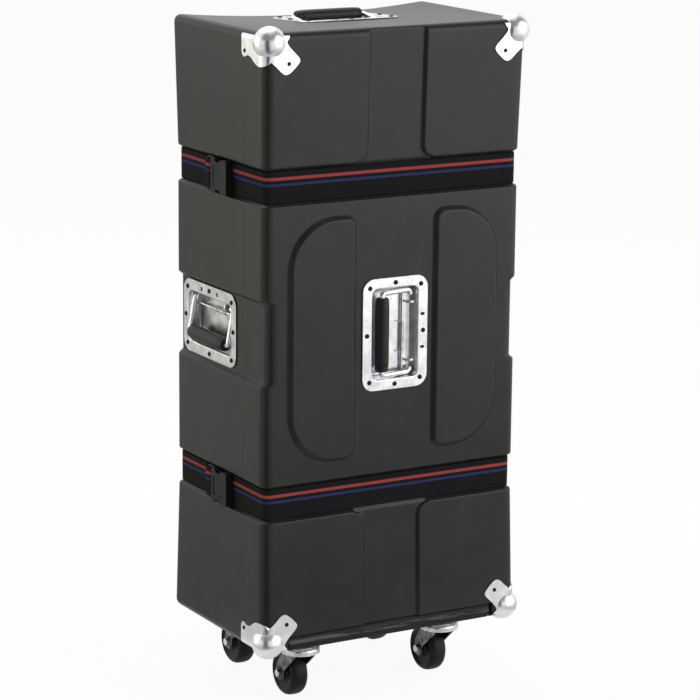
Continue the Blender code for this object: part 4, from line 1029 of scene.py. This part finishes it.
def strapLine(front, endY, outward):
    # the webbing's middle line, from one end to the other, as (x, y)
    radius = case["corner"] - case["channelDepth"]
    x, y = channelX - radius, channelY - radius
    reach = radius + gap + outward
    if front:
        line = [(-x - reach, endY)] + arc(-x, -y, reach, 180, 270, 10) + arc(x, -y, reach, 270, 360, 10)
        return line + [(x + reach, strap["endY"])]
    line = [(x + reach, strap["endY"] + gap)] + arc(x, y, reach, 0, 90, 10) + arc(-x, y, reach, 90, 180, 10)
    return line + [(-x - reach, endY)]


def along(line, share):
    # the point and direction at a share of a line's length, and that length
    lengths = [math.dist(a, b) for a, b in zip(line, line[1:])]
    rest = share * sum(lengths)
    for (a, b), length in zip(zip(line, line[1:]), lengths):
        if rest <= length or b is line[-1]:
            t = rest / length
            return Vector((a[0] + (b[0] - a[0]) * t, a[1] + (b[1] - a[1]) * t)), \
                Vector((b[0] - a[0], b[1] - a[1])) / length, sum(lengths)
        rest -= length


def webbingStrip(line, height, wave, start, thickness):
    # a woven strip on edge along the line, with its own map in metres
    s = strap
    bm = bmesh.new()
    bmesh.ops.create_grid(bm, x_segments=s["steps"], y_segments=s["stepsAcross"], size=0.5)
    uv = bm.loops.layers.uv.new("webbing")
    wavesLong, wavesHigh, wavesApart = s["waves"]
    places = {}
    for vert in bm.verts:
        share, across = vert.co.x + 0.5, vert.co.y
        point, way, length = along(line, share)
        out = Vector((way.y, -way.x))
        z = across * s["width"]
        drift = noise.noise(Vector((share * length * wavesLong, z * wavesHigh, height * wavesApart))) * wave
        crown = (0.5 - abs(across)) * s["crown"]
        places[vert] = (share * length + start, z)
        edge = point + out * (drift + crown)
        vert.co = (edge.x, edge.y, height + z)
    for face in bm.faces:
        for loop in face.loops:
            loop[uv].uv = places[loop.vert]
    bmesh.ops.recalc_face_normals(bm, faces=bm.faces)
    return thickened(bm, thickness, 0.0)


def makeStraps():
    s = strap
    middle = s["thickness"] / 2
    bar = s["buckleY"] + buckle["length"] + 2 * gap       # where the webbing comes over the buckle's bar
    near, out = channelX + gap + middle, channelX + gap + buckle["ladderThickness"] + middle
    steps = s["turnSteps"]
    turn = [(-near, bar + s["turnFrom"]), (-near, bar + s["turnFoot"])]
    for i in range(1, steps + 1):
        rise = (near - out) * (0.5 - 0.5 * math.cos(math.pi * i / steps))
        turn.append((-near + rise, bar + s["turnFoot"] - s["turnRun"] * i / steps))
    turn += [(-out + inward, bar + back) for inward, back in s["turnEnd"]]
    for level, height in zip(("lower", "upper"), case["straps"]):
        for front, run, body, stop, start in ((True, "front", "lid", s["buckleY"] + s["tuck"], 0),
                                              (False, "rear", "case", bar + s["rearRoom"], s["rearStart"])):
            bm = webbingStrip(strapLine(front, stop, middle), height, s["runWave"], start, s["runThickness"])
            name = level + "_strap_" + run
            newPiece(name + "_webbing", bm, "webbing", body, [name], sharp=60)
        bm = webbingStrip(turn, height, s["turnWave"], s["turnStart"], s["turnThickness"])
        newPiece(level + "_strap_turn_webbing", bm, "webbing", "case", sharp=60)


def buckleFrame(height):
    return axes((-channelX - gap, strap["buckleY"], height), (0, 1, 0), (0, 0, -1), (-1, 0, 0))


def femaleBuckle():
    b = buckle
    half, length = b["height"] / 2, b["length"]
    upper = arc(length - b["corner"], half - b["corner"], b["corner"], 0, 90, 5) + \
        [(length - back, half - inward) for back, inward in b["hollow"]] + \
        arc(b["frontCorner"], half - b["frontCorner"], b["frontCorner"], 90, 180, 5)
    bm = slab(mirrored(upper), 0.0, b["thickness"])
    nose = [e for e in bm.edges
            if min(v.co.z for v in e.verts) > 0.01 and max(v.co.x for v in e.verts) < 0.0001]
    rounded(bm, nose, b["nose"], 5)
    rims = [e for e in bm.edges if e.calc_face_angle(0) > math.radians(35)
            and (min(v.co.z for v in e.verts) > b["thickness"] - 1e-6)]
    rounded(bm, rims, b["soft"], 3)
    cavity = box((length - b["cavityLength"], -b["cavityHeight"] / 2, b["wall"] + b["floor"]),
                 (length + 0.01, b["cavityHeight"] / 2, b["thickness"] - b["wall"]))
    front, back = b["panel"]
    outline = mirrored(arc(length - back, b["panelHalf"], b["panelRound"], 0, 90, 4)
                       + arc(front, b["panelHalf"], b["panelRound"], 90, 180, 4))
    panel = slab(outline, b["thickness"] - b["panelDepth"], b["thickness"] + 0.01)
    tuck = box((-0.01, -b["throat"], -0.01), (strap["tuck"] + gap, b["throat"], strap["thickness"] + gap))
    return without(bm, cavity, panel, tuck, *channelSteps())


def channelSteps():
    # room for the channel's slopes above and below the buckle's back
    inner = case["channelHalf"] - gap
    beyond = buckle["height"] / 2 + gap - case["channelHalf"]
    depth = beyond * case["channelDepth"] / case["channelSlope"] + gap
    return [box((-0.05, inner, -0.05), (0.1, 0.05, depth)), box((-0.05, -0.05, -0.05), (0.1, -inner, depth))]


def prongMiddle():
    b = buckle
    return (b["floor"] + b["thickness"]) / 2


def maleBuckle():
    b = buckle
    start = b["length"] + 2 * gap
    end = start + b["ladder"]
    half, corner = b["height"] / 2, b["ladderCorner"]
    upper = arc(end - corner, half - corner, corner, 0, 90, 5) + [(start, half)]
    bm = slab(mirrored(upper), 0.0, b["ladderThickness"], b["soft"], 4)
    front, back = b["guide"]
    across, up = b["guideHalf"]
    middle = prongMiddle()
    guide = box((start - front, -across, middle - up), (start + back, across, middle + up), b["guideRound"])
    throat = box((start + b["ladderEnd"], -b["throat"], -0.01),
                 (end + 0.01, b["throat"], strap["thickness"] + gap))
    slots = [box((start + x, -b["slotHalf"], b["slotFloor"]), (start + x + b["slot"], b["slotHalf"], 0.02))
             for x in b["slots"]]
    return without(combined(bm, "UNION", guide), throat, *channelSteps(), *slots)


def buckleProng():
    # an arm with its hook, whose outer face is what the thumb presses
    b = buckle
    root = b["length"] + gap
    tip = root - b["prongLength"]
    inner, outer = b["innerZ"], b["outerZ"]
    arm = inner + b["arm"]
    outline = [(root, inner), (root, arm), (tip + 0.017, arm), (tip + 0.0145, outer - 0.001),
               (tip + 0.0135, outer), (tip + 0.009, outer), (tip + 0.005, arm + 0.002),
               (tip + 0.001, arm - 0.001), (tip, arm - 0.002), (tip, inner)]
    middle, half = prongMiddle(), b["prong"] / 2
    return slab(outline, middle - half, middle + half, b["prongRound"])


def makeBuckles():
    female, male, prong = femaleBuckle(), maleBuckle(), buckleProng()
    for level, height in zip(("lower", "upper"), case["straps"]):
        place = buckleFrame(height)
        flip = place @ Matrix.Scale(-1, 4, (0, 1, 0))
        for name, part, matrix, body in (
                ("_buckle_female", female, place, "lid"), ("_buckle_male", male, place, "case"),
                ("_prong_top", prong, flip, level + "_prong_top_arm"),
                ("_prong_bottom", prong, place, level + "_prong_bottom_arm")):
            placedPiece(level + name, "_moulding", part, matrix, "buckle", body)


makeStraps()
makeBuckles()
print("straps and buckles made")


# caster board and casters

board = {"halfWidth": 0.150, "halfDepth": 0.122, "thickness": 0.020, "round": 0.006, "steps": 5}
caster = {"x": 0.103, "y": 0.071, "axleZ": -0.055, "trail": 0.027, "plate": 0.029, "plateCorner": 0.006,
          "sheet": 0.003, "sheetEdge": 0.0005, "race": 0.022, "kingpin": 0.00425, "axle": 0.004,
          # (in from the race's outside, down from the plate)
          "raceLine": ((0.004, -0.001), (0.002, 0.0005), (0.0004, 0.0012), (0, 0.0022), (0, 0.0045),
                       (0.0006, 0.0054), (0.002, 0.0058)),
          "raceFoot": 0.013, "pinHead": ((0.0068, 0.0028), (0.0068, 0.0040), (0.0052, 0.0058), (0, 0.0060)),
          "boltHalf": 0.021, "bolt": 0.0055, "boltTop": -0.0045, "boltFoot": -0.0008, "boltRound": 0.0005,
          "boltWasher": ((0, 0), (0.0072, 0), (0.0074, -0.0004), (0.0072, -0.0009), (0, -0.0009)),
          "crown": 0.025, "crownTop": -0.0102, "crownDepth": 0.010, "shoulder": 0.006, "fork": 0.0025,
          "forkGap": 0.026, "forkRound": 0.0007, "boss": 0.0095, "neck": 0.014,
          "collar": ((0.0048, 0), (0.0075, 0), (0.0070, 0.0005), (0.0050, 0.0005)),
          "wheel": 0.030, "wheelHalf": 0.012, "hub": 0.011,
          # (out from the hub, in from the face) and (in from the tread, in from the face)
          "hubLine": ((-0.0015, 0), (-0.0005, 0.0006), (0, 0.0018), (0.0012, 0.003)),
          "tyreLine": ((0.0105, 0.003), (0.009, 0.0022), (0.0078, 0.0008), (0.0062, 0), (0.0045, 0.0004),
                       (0.0028, 0.0016), (0.0012, 0.0036), (0.0003, 0.0062), (0, 0.009)),
          "washer": ((0, 0), (0.0078, 0), (0.0078, 0.0008), (0.0072, 0.0010), (0, 0.0010)),
          "nut": 0.0052, "nutFoot": 0.0008, "nutTop": 0.004, "nutRound": 0.0006, "axleEnd": 0.001}


def makeBoard():
    b = board
    low, high = (-b["halfWidth"], -b["halfDepth"], 0), (b["halfWidth"], b["halfDepth"], b["thickness"])
    bm = box(low, high, b["round"], b["steps"])
    newPiece("caster_board_painted", bm, "board", "case", ["caster_board"], weighted=True)


def boltHead():
    # hexagon with its washer; Z = 0 is the face it bears on and the head hangs below it
    c = caster
    bm = turned(c["boltWasher"], 24)
    stamp(bm, hexagon(c["bolt"], c["boltTop"], c["boltFoot"], c["boltRound"]))
    return bm


def casterPlate():
    c = caster
    top, half, edge = -gap, c["plate"], c["sheetEdge"]
    under = top - c["sheet"]
    corner = c["plateCorner"]
    loops = [(half, half, corner, top), (half, half, corner, under + edge),
             (half - edge, half - edge, corner - edge * 0.8, under)]
    bm = ringStack(loops, 6, startCap=True, endCap=True)
    lower, pin = c["crownTop"], c["kingpin"] - gap
    line = [(0, under + 0.001)] + [(c["race"] - inward, under - down) for inward, down in c["raceLine"]] + \
        [(c["raceFoot"], lower + gap), (pin, lower + gap), (pin, lower - c["pinHead"][0][1])] + \
        [(radius, lower - down) for radius, down in c["pinHead"]]
    stamp(bm, turned(line, 40))
    head = boltHead()
    for x in (-c["boltHalf"], c["boltHalf"]):
        for y in (-c["boltHalf"], c["boltHalf"]):
            stamp(bm, head, Matrix.Translation((x, y, under)))
    return bm


def casterFork():
    c = caster
    top, outer, sheet, shoulder = c["crownTop"], c["crown"], c["fork"], c["shoulder"]
    rim = top - c["crownDepth"]
    turnX, turnZ = outer - shoulder, top - shoulder
    line = [(c["kingpin"], top), (turnX, top)] + arc(turnX, turnZ, shoulder, 80, 0, 6) + \
        [(outer, rim), (outer - sheet * 0.3, rim - 0.0002), (outer - sheet, rim)] + \
        arc(turnX, turnZ, shoulder - sheet, 0, 80, 5) + [(c["kingpin"], top - sheet)]
    bm = turned(line, 48, closed=True)
    trail, axle, boss, neck = c["trail"], c["axleZ"], c["boss"], c["neck"]
    # the leg's outline from the side, round the axle's boss
    leg = [(-neck, top - 0.003), (-neck, rim), (-neck + 0.003, rim - 0.006),
           (trail - boss - 0.001, axle + 0.005)]
    leg += arc(trail, axle, boss, 180, 360, 16)
    leg += [(trail + boss, axle + 0.004), (trail + boss * 0.7, axle + 0.012), (neck + 0.007, rim - 0.006),
            (neck + 0.001, rim), (neck, top - 0.003)]
    plate = slab(leg, -sheet / 2, sheet / 2, c["forkRound"])
    collar = turned([(radius, sheet / 2 + proud) for radius, proud in c["collar"]], 28, closed=True)
    for side in (-1, 1):
        x = side * (c["forkGap"] + sheet) / 2
        # the legs take the darker steel: painted shade
        stamp(bm, plate, Matrix.Translation((x, 0, 0)) @ facingSide, 1)
        stamp(bm, collar, Matrix.Translation((x, trail, axle)) @ Matrix.Rotation(side * math.pi / 2, 4, "Y"))
    return bm


def casterWheel():
    c = caster
    half, bore = c["wheelHalf"], c["axle"] + gap
    right = [(bore, half), (bore + 0.001, half + 0.0002)] + \
        [(c["hub"] + out, half - inward) for out, inward in c["hubLine"]] + \
        [(c["wheel"] - down, half - inward) for down, inward in c["tyreLine"]]
    bm = turned(mirrored(right), 64, closed=True)
    bmesh.ops.transform(bm, matrix=ontoX, verts=bm.verts)
    return bm


def casterAxle():
    c = caster
    outside = c["forkGap"] / 2 + c["fork"] + gap
    end = outside + c["axleEnd"]
    bm = turned([(0, -end), (c["axle"], -end), (c["axle"], end), (0, end)], 20)
    washer = turned([(radius, outside + up) for radius, up in c["washer"]], 28)
    nut = hexagon(c["nut"], outside + c["nutFoot"], outside + c["nutTop"], c["nutRound"])
    for turn in (0, math.pi):
        for part, index in ((washer, 1), (nut, 0)):
            stamp(bm, part, Matrix.Rotation(turn, 4, "X"), index)
    bmesh.ops.transform(bm, matrix=ontoX, verts=bm.verts)
    return bm


def makeCasters():
    c = caster
    plate, fork, wheel, axle = casterPlate(), casterFork(), casterWheel(), casterAxle()
    for end, signY in (("front", -1), ("rear", 1)):
        for hand, signX in (("left", -1), ("right", 1)):
            corner = end + "_" + hand
            name = corner + "_caster_"
            swivel = Matrix.Translation((signX * c["x"], signY * c["y"], 0))
            hub = swivel @ Matrix.Translation((0, c["trail"], c["axleZ"]))
            for kind, part, look, body, matrix in (
                    ("plate", plate, "zinc", "case", swivel),
                    ("fork", fork, ("zinc", "shadedSteel"), corner + "_swivel", swivel),
                    ("axle", axle, ("zinc", "shadedSteel"), corner + "_swivel", hub)):
                placedPiece(name + kind, "_detail", part, matrix, look, body)
            placedPiece(name + "wheel", "_detail", wheel, hub, "rubber", corner + "_roller", False)


makeBoard()
makeCasters()
print("casters made")

for i in range(4):
    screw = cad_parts["board_screw_" + str(i + 1)]
    screw.data.materials.clear()
    screw.data.materials.append(looks["zinc"])


# floor, light and camera

studio = {"floor": (0.86, 0.86, 0.86), "floorSize": 60.0, "world": 0.55, "glow": 0.93, "shine": 0.60,
          "cloths": {"black": (0.004, 0.004, 0.004), "dim": (0.26, 0.26, 0.26), "grey": (0.56, 0.56, 0.56),
                     "pale": (0.62, 0.625, 0.60)},
          # bearings are in degrees round the case, from its front
          "darkSide": (-60, -28), "darkNear": 0.45, "darkFar": 5.0, "darkTop": 5.5, "darkFoot": 0.004,
          "ceiling": (-95, 95), "ceilingFar": 4.5, "ceilingLow": 30, "ceilingHigh": 72,
          "matNear": 0.35, "matFar": 1.30, "matUp": 0.002, "sideMat": (-185, -115), "sideFar": 7.0,
          "lamps": (  # name, place, power, size, colour
              ("right", (2.4, -2.6, 1.6), 92.0, 3.6, (1.0, 1.0, 1.0)),
              ("left", (-2.6, 1.9, 0.9), 19.0, 2.0, (1.0, 1.0, 0.84)),
              ("top", (0.2, 1.4, 3.2), 42.0, 2.0, (1.0, 1.0, 0.96))),
          "aim": (0, 0, 0.45)}


def flatMaterial(name, colour, glow=0.0, shine=0.0):
    # glow is how far it shines by itself for the camera, and shine is the same for reflections
    g = Graph(name, Base_Color=colour, Roughness=0.95)
    if glow:
        seen = g.seenBy("Is Camera Ray") * glow + g.seenBy("Is Glossy Ray") * shine
        light = g.node("ShaderNodeEmission", inputs={"Color": (1, 1, 1), "Strength": 1.0})
        blend = g.node("ShaderNodeMixShader", inputs={0: seen, 1: Wire(g, g.shader.outputs[0]), 2: light})
        g.tree.links.new(blend.socket, g.tree.nodes["Material Output"].inputs["Surface"])
    return g.owner


def backdrop(name, bm, material):
    mesh = meshOf(name, bm)
    mesh.materials.append(material)
    piece = linked(name, mesh)
    return piece


def sweep(line, start, end):
    # turns a line of (distance, height) round the case, from one bearing to another
    bm = bmesh.new()
    way = math.radians(start - 90)
    verts = [bm.verts.new((far * math.cos(way), far * math.sin(way), height)) for far, height in line]
    edges = [bm.edges.new(pair) for pair in zip(verts, verts[1:])]
    bmesh.ops.spin(bm, geom=verts + edges, cent=(0, 0, 0), axis=(0, 0, 1), angle=math.radians(end - start),
                   steps=24, use_merge=False, use_duplicate=False)
    return bm


def makeBackdrops():
    # the cloths show only in what is reflected
    s = studio
    floor = bmesh.new()
    bmesh.ops.create_grid(floor, x_segments=1, y_segments=1, size=s["floorSize"] / 2)
    backdrop("floor", floor, flatMaterial("paleFloor", s["floor"], s["glow"], s["shine"]))
    screen = [(s["darkNear"], s["darkFoot"]), (s["darkFar"], s["darkFoot"]), (s["darkFar"], s["darkTop"])]
    dome = arc(0, 0, s["ceilingFar"], s["ceilingLow"], s["ceilingHigh"], 8)
    mat = [(s["matNear"], s["matUp"]), (s["matFar"], s["matUp"])]
    sideMat = [(s["matFar"], s["matUp"]), (s["sideFar"], s["matUp"])]
    for name, line, bearings, colour in (
            ("darkScreen", screen, s["darkSide"], "black"), ("ceiling", dome, s["ceiling"], "dim"),
            ("mat", mat, (0, 360), "grey"), ("sideMat", sideMat, s["sideMat"], "pale")):
        cloth = backdrop(name, sweep(line, *bearings), flatMaterial(colour + "Cloth", s["cloths"][colour]))
        cloth.visible_camera = cloth.visible_diffuse = cloth.visible_shadow = False


def makeLights():
    sky = Graph("studio", bpy.data.worlds, "Background", Color=(1, 1, 1))
    seen = sky.seenBy("Is Camera Ray", "Is Glossy Ray", "Is Transmission Ray")
    sky.set(Strength=sky.node("ShaderNodeMapRange", inputs={
        "Value": seen, "To Min": studio["world"], "To Max": 1.0}))
    bpy.context.scene.world = sky.owner
    for name, place, power, size, colour in studio["lamps"]:
        light = bpy.data.lights.new(name, "AREA")
        light.energy = power
        light.size = size
        light.color = colour
        lamp = linked(name, light)
        lamp.location = place
        lamp.rotation_euler = (Vector(studio["aim"]) - Vector(place)).to_track_quat("-Z", "Y").to_euler()
    bpy.context.scene.view_settings.view_transform = "Standard"


view = {"azimuth": -29.96, "elevation": 12.79, "roll": 0.53, "distance": 3.7686, "lens": 151.7, "sensor": 36,
        "farthest": 60, "target": (0.0065, 0.002, 0.4296)}


def makeCamera():
    a, e, r = (math.radians(view[key]) for key in ("azimuth", "elevation", "roll"))
    back = Vector((math.sin(a) * math.cos(e), -math.cos(a) * math.cos(e), math.sin(e)))
    right = Vector((math.cos(a), math.sin(a), 0))
    up = back.cross(right)
    turnedRight = right * math.cos(r) + up * math.sin(r)
    turnedUp = up * math.cos(r) - right * math.sin(r)
    lens = bpy.data.cameras.new("camera")
    lens.lens = view["lens"]
    lens.sensor_width = view["sensor"]
    lens.clip_end = view["farthest"]
    camera = linked("camera", lens)
    camera.matrix_world = axes(Vector(view["target"]) + back * view["distance"], turnedRight, turnedUp, back)
    bpy.context.scene.camera = camera


makeBackdrops()
makeLights()
makeCamera()
print("studio made")
